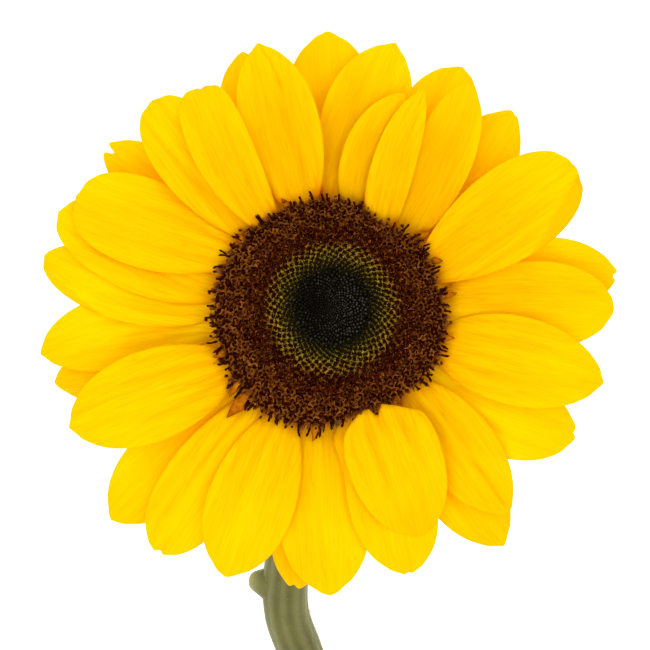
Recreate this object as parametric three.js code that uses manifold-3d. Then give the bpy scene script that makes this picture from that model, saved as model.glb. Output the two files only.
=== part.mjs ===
// A cut sunflower laid down on a table, in millimetres, +Z up.
//
// The stem lies along the table towards -Y. At +Y its neck bends up and carries the flower head,
// which leans back on the tips of its far petals and faces up and away from the stem.
// The origin is on the table, under the middle of the object's bounding box.
//
// The head is modelled in its own frame: x to the right, y towards the far petals, z out of the
// face, with the origin in the middle of the disc at the height where the petals are attached.

import * as THREE from 'three';
import { mergeVertices } from 'three/addons/utils/BufferGeometryUtils.js';
import Module from 'manifold-3d';

const wasm = await Module();
wasm.setup();

// ---- driving dimensions -------------------------------------------------------------------

const HEAD_TILT = THREE.MathUtils.degToRad(30);   // how far the face leans from straight up
const HEAD_CENTRE = new THREE.Vector3(0.9, 133.3, 38.5);
const GAP = 0.3;                                  // clearance between separate pieces

const STEM_RADIUS_AT_HEAD = 6.1;
const STEM_RADIUS_AT_CUT = 6.7;
const STEM_SIDES = 12;
const CUT_SLANT = 0.55;                           // rise of the cut face along the stem, per mm

const RECEPTACLE_DEPTH = 19;                      // petal attachment down to the top of the stem
const COLLAR_INNER = 26;
const COLLAR_OUTER = 30;
const BLADE_THICKNESS = 0.85;                     // measured along the head's axis

const DISC_RIM = 30.4;                            // edge of the open florets
const BUD_RING_RIM = 17.7;                        // edge of the green-yellow buds
const BUD_HEART_RIM = 13;                         // edge of the dark buds in the middle
const DISC_FLOOR = -1;

// ---- meshes, solids and materials ---------------------------------------------------------

function geometryFrom(points, triangles) {
  const geometry = new THREE.BufferGeometry();
  geometry.setAttribute('position', new THREE.Float32BufferAttribute(points.flat(), 3));
  geometry.setIndex(triangles.flat());
  return geometry;
}

function toSolid(geometry) {
  const bare = geometry.clone();
  bare.deleteAttribute('normal');
  bare.deleteAttribute('uv');
  const merged = mergeVertices(bare, 1e-4);
  return new wasm.Manifold(new wasm.Mesh({
    numProp: 3,
    vertProperties: new Float32Array(merged.attributes.position.array),
    triVerts: new Uint32Array(merged.index.array),
  }));
}

function toGeometry(solid) {
  const mesh = solid.getMesh();
  const geometry = new THREE.BufferGeometry();
  geometry.setAttribute('position', new THREE.BufferAttribute(mesh.vertProperties, 3));
  geometry.setIndex(new THREE.BufferAttribute(mesh.triVerts, 1));
  return geometry;
}

// Joins the geometries of pieces that grow together into one body.
function fuse(geometries) {
  let body = toSolid(geometries[0]);
  for (const geometry of geometries.slice(1)) {
    body = body.add(toSolid(geometry));
  }
  return toGeometry(body);
}

function namedMesh(name, geometry, colour, roughness) {
  geometry.computeVertexNormals();
  const material = new THREE.MeshStandardMaterial({ color: colour, roughness, metalness: 0 });
  const mesh = new THREE.Mesh(geometry, material);
  mesh.name = name;
  return mesh;
}

// A closed blade: rows of points along its length are its upper face, and the lower face is the
// same rows moved down by the thickness, split into the same triangles.
function bladeGeometry(rows, thickness) {
  const across = rows[0].length;
  const upper = rows.flat();
  const lower = upper.map(([x, y, z]) => [x, y, z - thickness]);
  const triangles = [];
  const lowerOffset = upper.length;
  for (let i = 0; i + 1 < rows.length; i += 1) {
    for (let j = 0; j + 1 < across; j += 1) {
      const a = i * across + j;
      const b = a + across;
      triangles.push([a, b + 1, b], [a, a + 1, b + 1]);
      triangles.push([a, b, b + 1].map((k) => k + lowerOffset));
      triangles.push([a, b + 1, a + 1].map((k) => k + lowerOffset));
    }
  }
  const last = (rows.length - 1) * across;
  const rim = [];
  for (let j = 0; j < across; j += 1) rim.push(j);
  for (let i = 1; i < rows.length; i += 1) rim.push(i * across + across - 1);
  for (let j = across - 2; j >= 0; j -= 1) rim.push(last + j);
  for (let i = rows.length - 2; i >= 1; i -= 1) rim.push(i * across);
  rim.forEach((a, index) => {
    const b = rim[(index + 1) % rim.length];
    triangles.push([a, b + lowerOffset, b], [a, a + lowerOffset, b + lowerOffset]);
  });
  return geometryFrom([...upper, ...lower], triangles);
}

// ---- the blades of the head ---------------------------------------------------------------

const onCircle = (radius, degrees) => {
  const angle = THREE.MathUtils.degToRad(degrees);
  return new THREE.Vector2(radius * Math.cos(angle), radius * Math.sin(angle));
};

// Half-width from base (u = 0) to tip (u = 1) as a part of the widest: it grows from a narrow
// claw to its full width at u = belly and closes at the tip, more roundly for a smaller tip.
function widthAlong(u, belly, tip) {
  const claw = 0.06;
  const along = claw + (1 - claw) * u;
  const power = tip * belly / (1 - belly);
  return (along / belly) ** power * (Math.max(0, 1 - along) / (1 - belly)) ** tip;
}

// Upper face of a petal or bract as rows of points. Its middle line runs in plan from the base
// to the tip, bowed sideways, and in height along a cubic curve from base through level (half
// way) to tip. The cup raises the edges, and the furrows are two folds beside the midrib.
function bladeRows(shape, steps, across) {
  const base = onCircle(shape.baseRadius, shape.baseAt);
  const tip = onCircle(shape.reach, shape.tipAt);
  const chord = tip.clone().sub(base);
  const side = new THREE.Vector2(-chord.y, chord.x).normalize();
  const control = base.clone().add(tip).multiplyScalar(0.5).addScaledVector(side, 2 * shape.bow);
  const swell = (shape.level - (shape.baseHeight + shape.tipHeight) / 8) / 0.75;
  const rows = [];
  for (let i = 0; i <= steps; i += 1) {
    const u = Math.sin(Math.PI / 2 * i / steps);
    const v = 1 - u;
    const middle = base.clone().multiplyScalar(v * v)
      .addScaledVector(control, 2 * u * v)
      .addScaledVector(tip, u * u);
    const height = shape.baseHeight * v ** 3 + 3 * swell * u * v + shape.tipHeight * u ** 3;
    const heading = control.clone().sub(base).multiplyScalar(v)
      .addScaledVector(tip.clone().sub(control), u).normalize();
    const full = widthAlong(u, shape.belly, shape.tip);
    const half = Math.max(0.45, shape.width / 2 * full);
    rows.push(across.map((w) => {
      const furrow = Math.abs(w) === FURROW ? -shape.furrow * full : 0;
      return [
        middle.x - heading.y * half * w,
        middle.y + heading.x * half * w,
        height + shape.cup * full * w * w + furrow,
      ];
    }));
  }
  return rows;
}

// ---- ray florets: the yellow petals -------------------------------------------------------

const FURROW = 0.38;                              // place of the two furrows across a petal
const PETAL_STEPS = 8;
const PETAL_ACROSS = [1, FURROW, 0, -FURROW, -1];
const PETAL_BASE_RADIUS = 28;
const BASE_HEIGHT = { front: 0.3, middle: -1, back: -2.4 };

// One line for each petal, round the head from the right: row of the head it grows in, bearings
// of its base and tip, reach of the tip, greatest width, sideways bow, place of the greatest
// width, pointedness of the tip, height half way, height of the tip, and rise of its edges.
const PETALS = [
  ['middle', 3, 1.6, 72.5, 21, 0.9, 0.58, 0.55, 6, 4, 0.4],
  ['back', 14, 7.4, 74.6, 18.5, 1, 0.6, 0.55, 3, 2, 0.3],
  ['front', 24, 30.8, 73.3, 24.6, 0, 0.62, 0.45, 9.5, 9, 2],
  ['back', 36, 48.8, 70.4, 17, 0, 0.58, 0.6, 2.5, 0, 0.3],
  ['middle', 47, 59.8, 70, 15, -1.4, 0.55, 0.55, 7, 3, 1],
  ['back', 60, 63, 71.8, 19, 0, 0.62, 0.5, 3.5, -6.4, 0.4],
  ['front', 60, 67.7, 62.4, 11, 1.7, 0.45, 0.5, 10.5, 8, -1.2],
  ['middle', 76, 71.6, 60, 12.5, 3.3, 0.5, 0.6, 8, 6, -0.6],
  ['middle', 88, 77.2, 72, 22.5, 1.6, 0.6, 0.6, 5.2, 1, 0.5],
  ['back', 91, 91.4, 73.6, 18.5, 0, 0.6, 0.6, 2, -0.6, 0.3],
  ['front', 105.4, 105.3, 72.8, 20, 0, 0.55, 0.6, 9.5, 2, 0.8],
  ['back', 117, 108.1, 72, 16, 1.5, 0.6, 0.5, 4.5, -4, 0.3],
  ['front', 125, 120.6, 67.3, 14, 2, 0.62, 0.35, 11.5, 5, 0.6],
  ['middle', 134.7, 130.4, 72.3, 19.5, 0, 0.62, 0.45, 9.3, 3, 0.3],
  ['back', 141, 144, 72.5, 13.5, 0, 0.6, 0.5, 2.5, 1, 0.3],
  ['front', 147, 155.6, 72.8, 22, 0.6, 0.6, 0.5, 7.5, 5, -0.5],
  ['middle', 166, 160.1, 75.7, 20, 1, 0.55, 0.55, 5.5, 3, -0.3],
  ['back', 175, 169, 76.2, 17.5, 2.6, 0.55, 0.6, 3.7, 2, 0.3],
  ['back', -172, -172.2, 76.4, 18, -3, 0.6, 0.7, 1.8, 0, 0.3],
  ['back', -163, -166.5, 73.8, 16, 0, 0.6, 0.6, 0.2, -2, 0.2],
  ['front', -153, -156.4, 74.1, 23.5, 0, 0.55, 0.6, 9.5, 5, -1],
  ['back', -140, -136.1, 78.3, 18, 0, 0.6, 0.5, 2.2, 0, 0.3],
  ['middle', -130.6, -125.4, 77.2, 20, 0, 0.6, 0.5, 6, 2, -0.4],
  ['front', -116, -113, 73.3, 22, 0, 0.55, 0.52, 9.5, 5, -1.4],
  ['back', -98, -97.6, 72.5, 17, 0, 0.6, 0.5, 2.2, 0, 0.3],
  ['middle', -96.7, -90.6, 72.8, 22, -0.4, 0.62, 0.6, 7.6, 3, -1],
  ['back', -79.8, -72.8, 70.5, 23, 1.6, 0.58, 0.55, 4.4, 2, -0.4],
  ['front', -66.7, -68.8, 61.9, 26, 0, 0.42, 0.45, 10.5, 7, -1.8],
  ['back', -50, -53.9, 75, 20, 0, 0.6, 0.6, 2.8, 0, 0.3],
  ['middle', -42, -48.5, 69.2, 19, 0, 0.52, 0.65, 7, 5, -0.8],
  ['back', -30.6, -26, 70, 21, -2.5, 0.55, 0.55, 4.6, 4, 0.3],
  ['front', -14.7, -13.1, 72.5, 22, 0, 0.52, 0.65, 9, 6, -0.8],
];

function petalGeometry([row, baseAt, tipAt, reach, width, bow, belly, tip, level, tipHeight, cup]) {
  const shape = {
    baseRadius: PETAL_BASE_RADIUS, baseHeight: BASE_HEIGHT[row], furrow: 0.45,
    baseAt, tipAt, reach, width, bow, belly, tip, level, tipHeight, cup,
  };
  return bladeGeometry(bladeRows(shape, PETAL_STEPS, PETAL_ACROSS), BLADE_THICKNESS);
}

// The ring of claws that the petals grow from.
function collarGeometry() {
  const profile = [
    [COLLAR_INNER, -4], [COLLAR_OUTER - 0.4, -4], [COLLAR_OUTER, -2.6], [29.6, 0],
    [28.4, 1.2], [COLLAR_INNER, 1.5], [COLLAR_INNER, -4],
  ].map(([r, z]) => new THREE.Vector2(r, z));
  return new THREE.LatheGeometry(profile, 40).rotateX(Math.PI / 2);
}

function rayFlorets() {
  const geometry = fuse([collarGeometry(), ...PETALS.map(petalGeometry)]);
  return namedMesh('ray_florets', geometry, 0xffd400, 0.62);
}

// ---- involucre: the green cup and its bracts ----------------------------------------------

const BRACTS = 15;                                // in each of the two rows
const BRACT_STEPS = 4;

function bractGeometry(index, row) {
  const sway = Math.sin(index * 2.4 + row);
  const at = 360 / BRACTS * (index + row / 2) + 2 * sway;
  const shape = {
    baseRadius: 25.5 - 2.5 * row, baseHeight: -6.4 - 3 * row, furrow: 0,
    baseAt: at, tipAt: at + 3 * sway, reach: 47 - 5 * row + 1.6 * sway, width: 12.5, bow: 0.6 * sway,
    belly: 0.4, tip: 1.15, level: -8.4 - 2.7 * row, tipHeight: -9 - 4.5 * row + 0.8 * sway, cup: 1,
  };
  return bladeGeometry(bladeRows(shape, BRACT_STEPS, [1, 0, -1]), BLADE_THICKNESS);
}

function receptacleGeometry() {
  const profile = [
    [0, -RECEPTACLE_DEPTH], [STEM_RADIUS_AT_HEAD + 0.3, -RECEPTACLE_DEPTH], [9, -17.6],
    [16, -15.4], [23, -12.2], [28, -8.2], [29.6, -5.6], [29.4, -4 - GAP],
    [COLLAR_INNER - GAP, -4 - GAP], [COLLAR_INNER - GAP, DISC_FLOOR - GAP], [0, DISC_FLOOR - GAP],
  ].map(([r, z]) => new THREE.Vector2(r, z));
  return new THREE.LatheGeometry(profile, 26).rotateX(Math.PI / 2);
}

function involucre() {
  const pieces = [receptacleGeometry()];
  for (let row = 0; row < 2; row += 1) {
    for (let index = 0; index < BRACTS; index += 1) pieces.push(bractGeometry(index, row));
  }
  return namedMesh('involucre', fuse(pieces), 0x6f8a3a, 0.8);
}

// ---- disc: florets and buds in crossing spirals -------------------------------------------

// Height of the disc's face: a shallow dish in the middle, a raised band of open florets that
// falls away to the rim.
function discHeight(r) {
  const heart = 4.2 + 1.6 * (r / BUD_RING_RIM) ** 2;
  const band = THREE.MathUtils.smoothstep(r, BUD_RING_RIM, BUD_RING_RIM + 4) * 1.9;
  const fall = THREE.MathUtils.smoothstep(r, 24, DISC_RIM) * 2.2;
  return heart + band - fall;
}

// A disc or ring whose face is covered by diamond cells in crossing spirals. Each circle of
// corners is turned by a little over half a cell from the last, so that every cell has a corner
// inwards and one outwards, and the cells keep their proportions as they grow towards the rim.
// A cell is a peak, or an open floret with a raised mouth round a hollow. Below the rim the side
// follows the points of wall, and the floor is flat.
const CIRCLE_TURN = 0.72;                         // of a cell, from one circle to the next
const MOUTH_SIZE = 0.6;                           // of its cell

function spiralRelief({ inner, outer, arms, valley, peak, hollow, wall, bored }) {
  const circles = Math.round(Math.log(outer / inner) / (Math.PI / arms));
  const growth = (outer / inner) ** (1 / circles);
  const points = [];
  const triangles = [];
  const place = (r, turn, z) => {
    const angle = 2 * Math.PI * turn / arms;
    points.push([r * Math.cos(angle), r * Math.sin(angle), z]);
    return points.length - 1;
  };
  const circle = (r, turn, z) => Array.from({ length: arms }, (_, j) => place(r, j + turn, z));
  const next = (j) => (j + 1) % arms;

  const corners = [];
  for (let i = 0; i <= circles; i += 1) {
    const r = inner * growth ** i;
    corners.push(circle(r, i * CIRCLE_TURN, discHeight(r) - valley));
  }
  for (let i = 0; i <= circles; i += 1) {
    const r = inner * growth ** i;
    for (let j = 0; j < arms; j += 1) {
      const inward = i > 0 ? corners[i - 1][next(j)] : null;
      const outward = i < circles ? corners[i + 1][j] : null;
      const ring = [inward, corners[i][j], outward, corners[i][next(j)]];
      if (inward === null || outward === null) {
        triangles.push(ring.filter((corner) => corner !== null));
        continue;
      }
      const turn = j + 0.5 + i * CIRCLE_TURN;
      const lean = CIRCLE_TURN - 0.5;
      const middle = place(r, turn, discHeight(r) + peak - hollow);
      const mouth = [[-1, -lean], [0, -0.5], [1, lean], [0, 0.5]].map(([out, aside]) => (
        place(r * growth ** (MOUTH_SIZE * out), turn + MOUTH_SIZE * aside, discHeight(r) + peak)
      ));
      ring.forEach((corner, k) => {
        const after = (k + 1) % 4;
        if (hollow > 0) {
          triangles.push([corner, ring[after], mouth[after]], [corner, mouth[after], mouth[k]]);
          triangles.push([mouth[k], mouth[after], middle]);
        } else {
          triangles.push([corner, ring[after], middle]);
        }
      });
    }
  }

  const rimTurn = circles * CIRCLE_TURN;
  const bands = [corners[circles], ...wall.map(([r, z]) => circle(r, rimTurn, z))];
  if (bored) {
    const shift = Math.round(rimTurn);
    const aligned = (loop) => loop.map((_, j) => loop[(j + shift) % arms]);
    bands.push(aligned(circle(inner, 0, DISC_FLOOR)), aligned(corners[0]));
  } else {
    const crown = place(0, 0, discHeight(0) - valley);
    const under = place(0, 0, DISC_FLOOR);
    const last = bands.at(-1);
    for (let j = 0; j < arms; j += 1) {
      triangles.push([crown, corners[0][j], corners[0][next(j)]]);
      triangles.push([last[j], under, last[next(j)]]);
    }
  }
  for (let i = 0; i + 1 < bands.length; i += 1) {
    const upper = bands[i];
    const lower = bands[i + 1];
    for (let j = 0; j < arms; j += 1) {
      triangles.push([upper[j], lower[j], lower[next(j)]], [upper[j], lower[next(j)], upper[next(j)]]);
    }
  }
  const used = new Map([...new Set(triangles.flat())].map((old, index) => [old, index]));
  return geometryFrom(
    [...used.keys()].map((old) => points[old]),
    triangles.map((triangle) => triangle.map((old) => used.get(old))),
  );
}

function discFlorets() {
  const geometry = spiralRelief({
    inner: BUD_RING_RIM + GAP, outer: DISC_RIM, arms: 34, valley: 1.6, peak: 0.9, hollow: 1.2,
    wall: [[DISC_RIM - 1.2, 4], [COLLAR_INNER - GAP, 2.4], [COLLAR_INNER - GAP, DISC_FLOOR]],
    bored: true,
  });
  return namedMesh('disc_florets', geometry, 0x5a2a0e, 0.85);
}

function budRing() {
  const geometry = spiralRelief({
    inner: BUD_HEART_RIM + GAP, outer: BUD_RING_RIM, arms: 34, valley: 0.3, peak: 0.9, hollow: 0,
    wall: [[BUD_RING_RIM, DISC_FLOOR]], bored: true,
  });
  return namedMesh('bud_ring', geometry, 0x6a5a12, 0.7);
}

function budHeart() {
  const geometry = spiralRelief({
    inner: 2.2, outer: BUD_HEART_RIM, arms: 26, valley: 0.2, peak: 0.6, hollow: 0,
    wall: [[BUD_HEART_RIM, DISC_FLOOR]], bored: false,
  });
  return namedMesh('bud_heart', geometry, 0x1f2216, 0.6);
}

// ---- stem ---------------------------------------------------------------------------------

// Where the stem's middle line runs: it leaves the receptacle straight along the head's axis,
// turns down on to the table in an arc, and lies along it in a slow S.
const NECK_TURN = Math.PI / 2 - HEAD_TILT;
const NECK_STRAIGHT = 4;
const LYING_ROUTE = [[-8.6, -54], [-13.6, -72], [-16, -88], [-16.1, -101], [-13.9, -116], [-9.9, -131],
  [-3, -156], [4, -192], [8.5, -236], [9, -282], [6, -326]];

function stemRoute() {
  const belowHead = (depth) => new THREE.Vector3(
    0, -depth * Math.sin(HEAD_TILT), HEAD_CENTRE.z - depth * Math.cos(HEAD_TILT),
  );
  const bend = belowHead(RECEPTACLE_DEPTH + GAP + NECK_STRAIGHT);
  const radius = (bend.z - STEM_RADIUS_AT_HEAD) / (1 - Math.cos(NECK_TURN));
  const points = [belowHead(RECEPTACLE_DEPTH + GAP)];
  for (let i = 0; i <= 4; i += 1) {
    const slope = NECK_TURN * (1 - i / 4);
    const y = bend.y - radius * (Math.sin(NECK_TURN) - Math.sin(slope));
    const z = bend.z - radius * (Math.cos(slope) - Math.cos(NECK_TURN));
    points.push(new THREE.Vector3(-4 * (i / 4) ** 2, y, z));
  }
  LYING_ROUTE.forEach(([x, y], i) => {
    const z = THREE.MathUtils.lerp(STEM_RADIUS_AT_HEAD, STEM_RADIUS_AT_CUT, (i + 1) / LYING_ROUTE.length);
    points.push(new THREE.Vector3(x, y, z));
  });
  const middle = new THREE.Vector3(HEAD_CENTRE.x, HEAD_CENTRE.y, 0);
  return new THREE.CatmullRomCurve3(points.map((point) => point.add(middle)), false, 'centripetal');
}

// A closed bar along a curve, with its own radius at each end. Its last face can be cut aslant:
// cutSlant moves each point of it back along the bar by that much per millimetre of height.
function barGeometry(curve, rings, sides, startRadius, endRadius, cutSlant = 0) {
  const points = [];
  const triangles = [];
  for (let i = 0; i <= rings; i += 1) {
    const u = i / rings;
    const centre = curve.getPointAt(u);
    const heading = curve.getTangentAt(u);
    const across = new THREE.Vector3(1, 0, 0).addScaledVector(heading, -heading.x).normalize();
    const up = new THREE.Vector3().crossVectors(heading, across);
    const radius = THREE.MathUtils.lerp(startRadius, endRadius, u);
    for (let j = 0; j < sides; j += 1) {
      const angle = 2 * Math.PI * (j + 0.5) / sides;
      const height = radius * Math.sin(angle);
      const point = centre.clone()
        .addScaledVector(across, radius * Math.cos(angle))
        .addScaledVector(up, height)
        .addScaledVector(heading, i === rings ? -cutSlant * height : 0);
      points.push(point.toArray());
    }
  }
  const lastRing = rings * sides;
  for (let j = 0; j < sides; j += 1) {
    const next = (j + 1) % sides;
    for (let i = 0; i < rings; i += 1) {
      const a = i * sides + j;
      const b = i * sides + next;
      triangles.push([a, b, b + sides], [a, b + sides, a + sides]);
    }
    if (j > 0 && j < sides - 1) {
      triangles.push([0, next, j], [lastRing, lastRing + j, lastRing + next]);
    }
  }
  return geometryFrom(points, triangles);
}

// The stubs of the leaf stalks, where the leaves were stripped off: how far along the stem, and
// where round it from the right side over the top to the left.
const LEAF_STUBS = [[0.326, 176], [0.412, 10], [0.49, 100], [0.57, 170], [0.66, 30], [0.77, 120], [0.88, 8]];
const STUB_LENGTH = 4;
const STUB_RADIUS = 3.2;

function stubGeometry(route, [along, bearing]) {
  const centre = route.getPointAt(along);
  const heading = route.getTangentAt(along);
  const angle = THREE.MathUtils.degToRad(bearing);
  const outward = new THREE.Vector3(Math.cos(angle), 0, Math.sin(angle));
  const tip = centre.clone()
    .addScaledVector(outward, STEM_RADIUS_AT_HEAD + STUB_LENGTH)
    .addScaledVector(heading, -0.5 * STUB_LENGTH);
  return barGeometry(new THREE.LineCurve3(centre, tip), 1, 8, STUB_RADIUS + 1.2, STUB_RADIUS - 1);
}

function stem() {
  const route = stemRoute();
  const bar = barGeometry(route, 36, STEM_SIDES, STEM_RADIUS_AT_HEAD, STEM_RADIUS_AT_CUT, CUT_SLANT);
  const stubs = LEAF_STUBS.map((place) => stubGeometry(route, place));
  return namedMesh('stem', fuse([bar, ...stubs]), 0x77773e, 0.75);
}

// ---- the flower ---------------------------------------------------------------------------

const head = new THREE.Group();
head.position.copy(HEAD_CENTRE);
head.rotation.x = -HEAD_TILT;
head.add(rayFlorets(), involucre(), discFlorets(), budRing(), budHeart());

const group = new THREE.Group();
group.add(head, stem());

export default group;
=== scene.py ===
"""A cut sunflower laid on a table, seen square to the face of its flower head."""

import math

import bpy
import numpy as np
from mathutils import Matrix, Vector


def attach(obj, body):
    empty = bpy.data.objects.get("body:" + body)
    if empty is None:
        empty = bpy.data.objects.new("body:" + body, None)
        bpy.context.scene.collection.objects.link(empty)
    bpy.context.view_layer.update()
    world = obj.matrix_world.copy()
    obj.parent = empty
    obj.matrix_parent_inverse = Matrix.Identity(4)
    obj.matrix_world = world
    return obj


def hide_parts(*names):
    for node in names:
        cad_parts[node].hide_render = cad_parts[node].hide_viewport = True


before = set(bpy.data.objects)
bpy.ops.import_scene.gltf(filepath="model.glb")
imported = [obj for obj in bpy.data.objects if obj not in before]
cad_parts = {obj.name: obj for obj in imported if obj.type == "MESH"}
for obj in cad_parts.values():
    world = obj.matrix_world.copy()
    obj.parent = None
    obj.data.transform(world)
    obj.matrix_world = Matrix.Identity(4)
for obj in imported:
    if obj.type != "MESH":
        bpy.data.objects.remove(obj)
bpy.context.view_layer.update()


# ---- Stem -----------------------------------------------------------------------------------
# A green, ribbed, pithy stalk, stripped of its leaves and cut aslant with a knife. It grows out
# of the receptacle, bends at the neck and lies along the table.

MM = 0.001                                        # sizes here are in millimetres, Blender's in metres
POLE = 0.06                                       # an end row this small closes to a point
HEAD_CENTRE = np.array([0.9, 133.3, 38.5])
HEAD_TILT = math.radians(30)                      # of the flower's face, from level
STEM_TOP = 19.3                                   # below the petals, along the head's axis
NECK_STRAIGHT = 4.0
NECK_DRIFT = 4.0                                  # how far the neck's bend swings to the left
NECK_RADIUS = 6.3
CUT_RADIUS = 6.8
CUT_SLANT = 0.55                                  # how far the cut leans back for its height
RIBS, FINE_RIBS = 11, 31
# The middle line from the neck's bend to the cut: right and away of the head's centre, from above.
LYING_ROUTE = [(-6, -54), (-8.8, -72), (-10.9, -88), (-12.7, -101), (-12.8, -116), (-8.7, -131),
               (-3, -156), (4, -192), (8.5, -236), (9, -282), (6, -326)]
# Stripped leaf stalks: share of the way along the stem, bearing round it in degrees.
LEAF_STUBS = [(0.322, 176), (0.412, 10), (0.49, 100), (0.57, 170), (0.66, 30), (0.77, 120), (0.88, 8)]
STUB_LENGTH = 3.6
STUB_RADIUS = 2.304
STUB_FOOT = 4.6                                   # how far its foot is drawn out down the stem


def blend_from(x, low, high):
    """0 below low, 1 above high and a smooth S between them."""
    t = np.clip((np.asarray(x, float) - low) / (high - low), 0, 1)
    return t * t * (3 - 2 * t)


def curve_through(points, count):
    """Points at even steps of a curve through the given ones: each stretch is a cubic whose end
    slopes come from its neighbours, with knots spaced by the root of the distance between them."""
    p = np.vstack([2 * points[0] - points[1], points, 2 * points[-1] - points[-2]])
    step = np.sqrt(np.linalg.norm(np.diff(p, axis=0), axis=1))[:, None]
    before, after = step[:-1], step[1:]
    slope = ((p[1:-1] - p[:-2]) / before - (p[2:] - p[:-2]) / (before + after)
             + (p[2:] - p[1:-1]) / after)
    knots = np.concatenate([[0], np.cumsum(step[1:-1, 0])])

    def at(t):
        """The curve at knot values t, by the cubic of the stretch that each falls in."""
        k = np.clip(np.searchsorted(knots, t, side="right") - 1, 0, len(points) - 2)
        width = (knots[k + 1] - knots[k])[:, None]
        s = (t - knots[k])[:, None] / width
        return ((2 * s**3 - 3 * s**2 + 1) * points[k] + (s**3 - 2 * s**2 + s) * width * slope[k]
                + (3 * s**2 - 2 * s**3) * points[k + 1] + (s**3 - s**2) * width * slope[k + 1])

    samples_a_point = 40
    fine = np.linspace(0, knots[-1], samples_a_point * len(points))
    travelled = np.concatenate([[0], np.cumsum(np.linalg.norm(np.diff(at(fine), axis=0), axis=1))])
    return at(np.interp(np.linspace(0, travelled[-1], count), travelled, fine))


def stem_route(count):
    """The stem's middle line: straight out of the receptacle, down in an arc that ends level, and
    along the table, at the height of its own radius."""
    def below_head(depth):
        """The point on the head's axis at a depth below its centre, seen from the side."""
        return np.array([0, -depth * math.sin(HEAD_TILT), HEAD_CENTRE[2] - depth * math.cos(HEAD_TILT)])

    turn = math.pi / 2 - HEAD_TILT
    bend = below_head(STEM_TOP + NECK_STRAIGHT)
    arc_radius = (bend[2] - NECK_RADIUS) / (1 - math.cos(turn))
    part = np.linspace(0, 1, 5)
    slope = turn * (1 - part)
    arc = np.stack([-NECK_DRIFT * part**2,
                    bend[1] - arc_radius * (math.sin(turn) - np.sin(slope)),
                    bend[2] - arc_radius * (np.cos(slope) - math.cos(turn))], axis=1)
    stations = len(LYING_ROUTE)
    height = NECK_RADIUS + (CUT_RADIUS - NECK_RADIUS) * np.arange(1, stations + 1) / stations
    lying = np.column_stack([np.array(LYING_ROUTE, float), height])
    points = np.vstack([below_head(STEM_TOP), arc, lying]) + HEAD_CENTRE * (1, 1, 0)
    return curve_through(points, count)


def unit(vectors):
    """Vectors divided by their lengths."""
    return vectors / np.linalg.norm(vectors, axis=-1, keepdims=True)


def full_turn(count):
    """Angles at even steps round a circle."""
    return 2 * np.pi * np.arange(count) / count


def directions(path):
    """Unit vectors along a path, across it (level) and up from it."""
    along = unit(np.gradient(path, axis=0))
    across = unit(np.array([1.0, 0, 0]) - along * along[:, :1])
    return along, across, np.cross(along, across)


def carried(path, radius, slant=0.0):
    """A tube: a circle of points round each point of the path, radius[row, column] from it, moved
    back along the path by slant times its height above the path."""
    along, across, up = directions(path)
    angle = full_turn(radius.shape[1])
    side = radius * np.cos(angle)
    rise = radius * np.sin(angle)
    slants = np.broadcast_to(np.asarray(slant, float), len(path))[:, None]
    return (path[:, None] + across[:, None] * side[..., None] + up[:, None] * rise[..., None]
            - along[:, None] * (slants * rise)[..., None])


def mesh_piece(name, grids, material, replaced=(), smooth=True):
    """One mesh from grids of points in millimetres. A grid is (points, wrapped, values): points is
    [..., row, column, xyz], wrapped joins the last column to the first, and values are numbers
    stored at the points under their names. An end row no wider than POLE becomes a single point,
    and points that coincide become one."""
    positions, corners, stored, start = [], [], {}, 0
    for points, wrapped, values in grids:
        points = np.asarray(points, float)
        rows, columns = points.shape[-3:-1]
        copies = points.reshape(-1, rows, columns, 3)
        index = np.arange(rows * columns).reshape(rows, columns)
        for end in (0, -1):
            if np.ptp(copies[:, end], axis=1).max() < POLE:
                index[end] = index[end, 0]
        right = np.roll(index, -1, axis=1)
        used = slice(None) if wrapped else slice(-1)
        quad = np.stack([index[:-1, used], right[:-1, used], right[1:, used], index[1:, used]], -1)
        offsets = start + rows * columns * np.arange(len(copies))
        corners.append((quad.reshape(1, -1, 4) + offsets[:, None, None]).reshape(-1, 4))
        positions.append(copies.reshape(-1, 3))
        for key, value in values.items():
            stored.setdefault(key, []).append(np.broadcast_to(value, points.shape[:-1]).ravel())
        start += rows * columns * len(copies)
    positions, corners = np.concatenate(positions) * MM, np.concatenate(corners)
    first, same = np.unique(np.round(positions, 8), axis=0, return_index=True, return_inverse=True)[1:]
    corners = first[same.ravel()][corners]
    distinct = corners != np.roll(corners, 1, axis=1)
    whole = distinct.sum(axis=1) > 2
    corners, distinct = corners[whole], distinct[whole]
    sizes = distinct.sum(axis=1)
    kept, loops = np.unique(corners[distinct], return_inverse=True)
    mesh = bpy.data.meshes.new(name)
    mesh.vertices.add(len(kept))
    mesh.vertices.foreach_set("co", positions[kept].astype(np.float32).ravel())
    mesh.loops.add(len(loops))
    mesh.loops.foreach_set("vertex_index", loops.astype(np.int32).ravel())
    mesh.polygons.add(len(sizes))
    mesh.polygons.foreach_set("loop_start", (np.cumsum(sizes) - sizes).astype(np.int32))
    mesh.polygons.foreach_set("use_smooth", np.full(len(sizes), smooth))
    mesh.update(calc_edges=True)
    mesh.validate()
    for key, value in stored.items():
        layer = mesh.attributes.new(key, "FLOAT", "POINT")
        layer.data.foreach_set("value", np.concatenate(value)[kept].astype(np.float32))
    mesh.materials.append(material)
    piece = bpy.data.objects.new(name, mesh)
    bpy.context.scene.collection.objects.link(piece)
    if replaced:
        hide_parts(*replaced)
    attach(piece, "root")
    return piece


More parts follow.
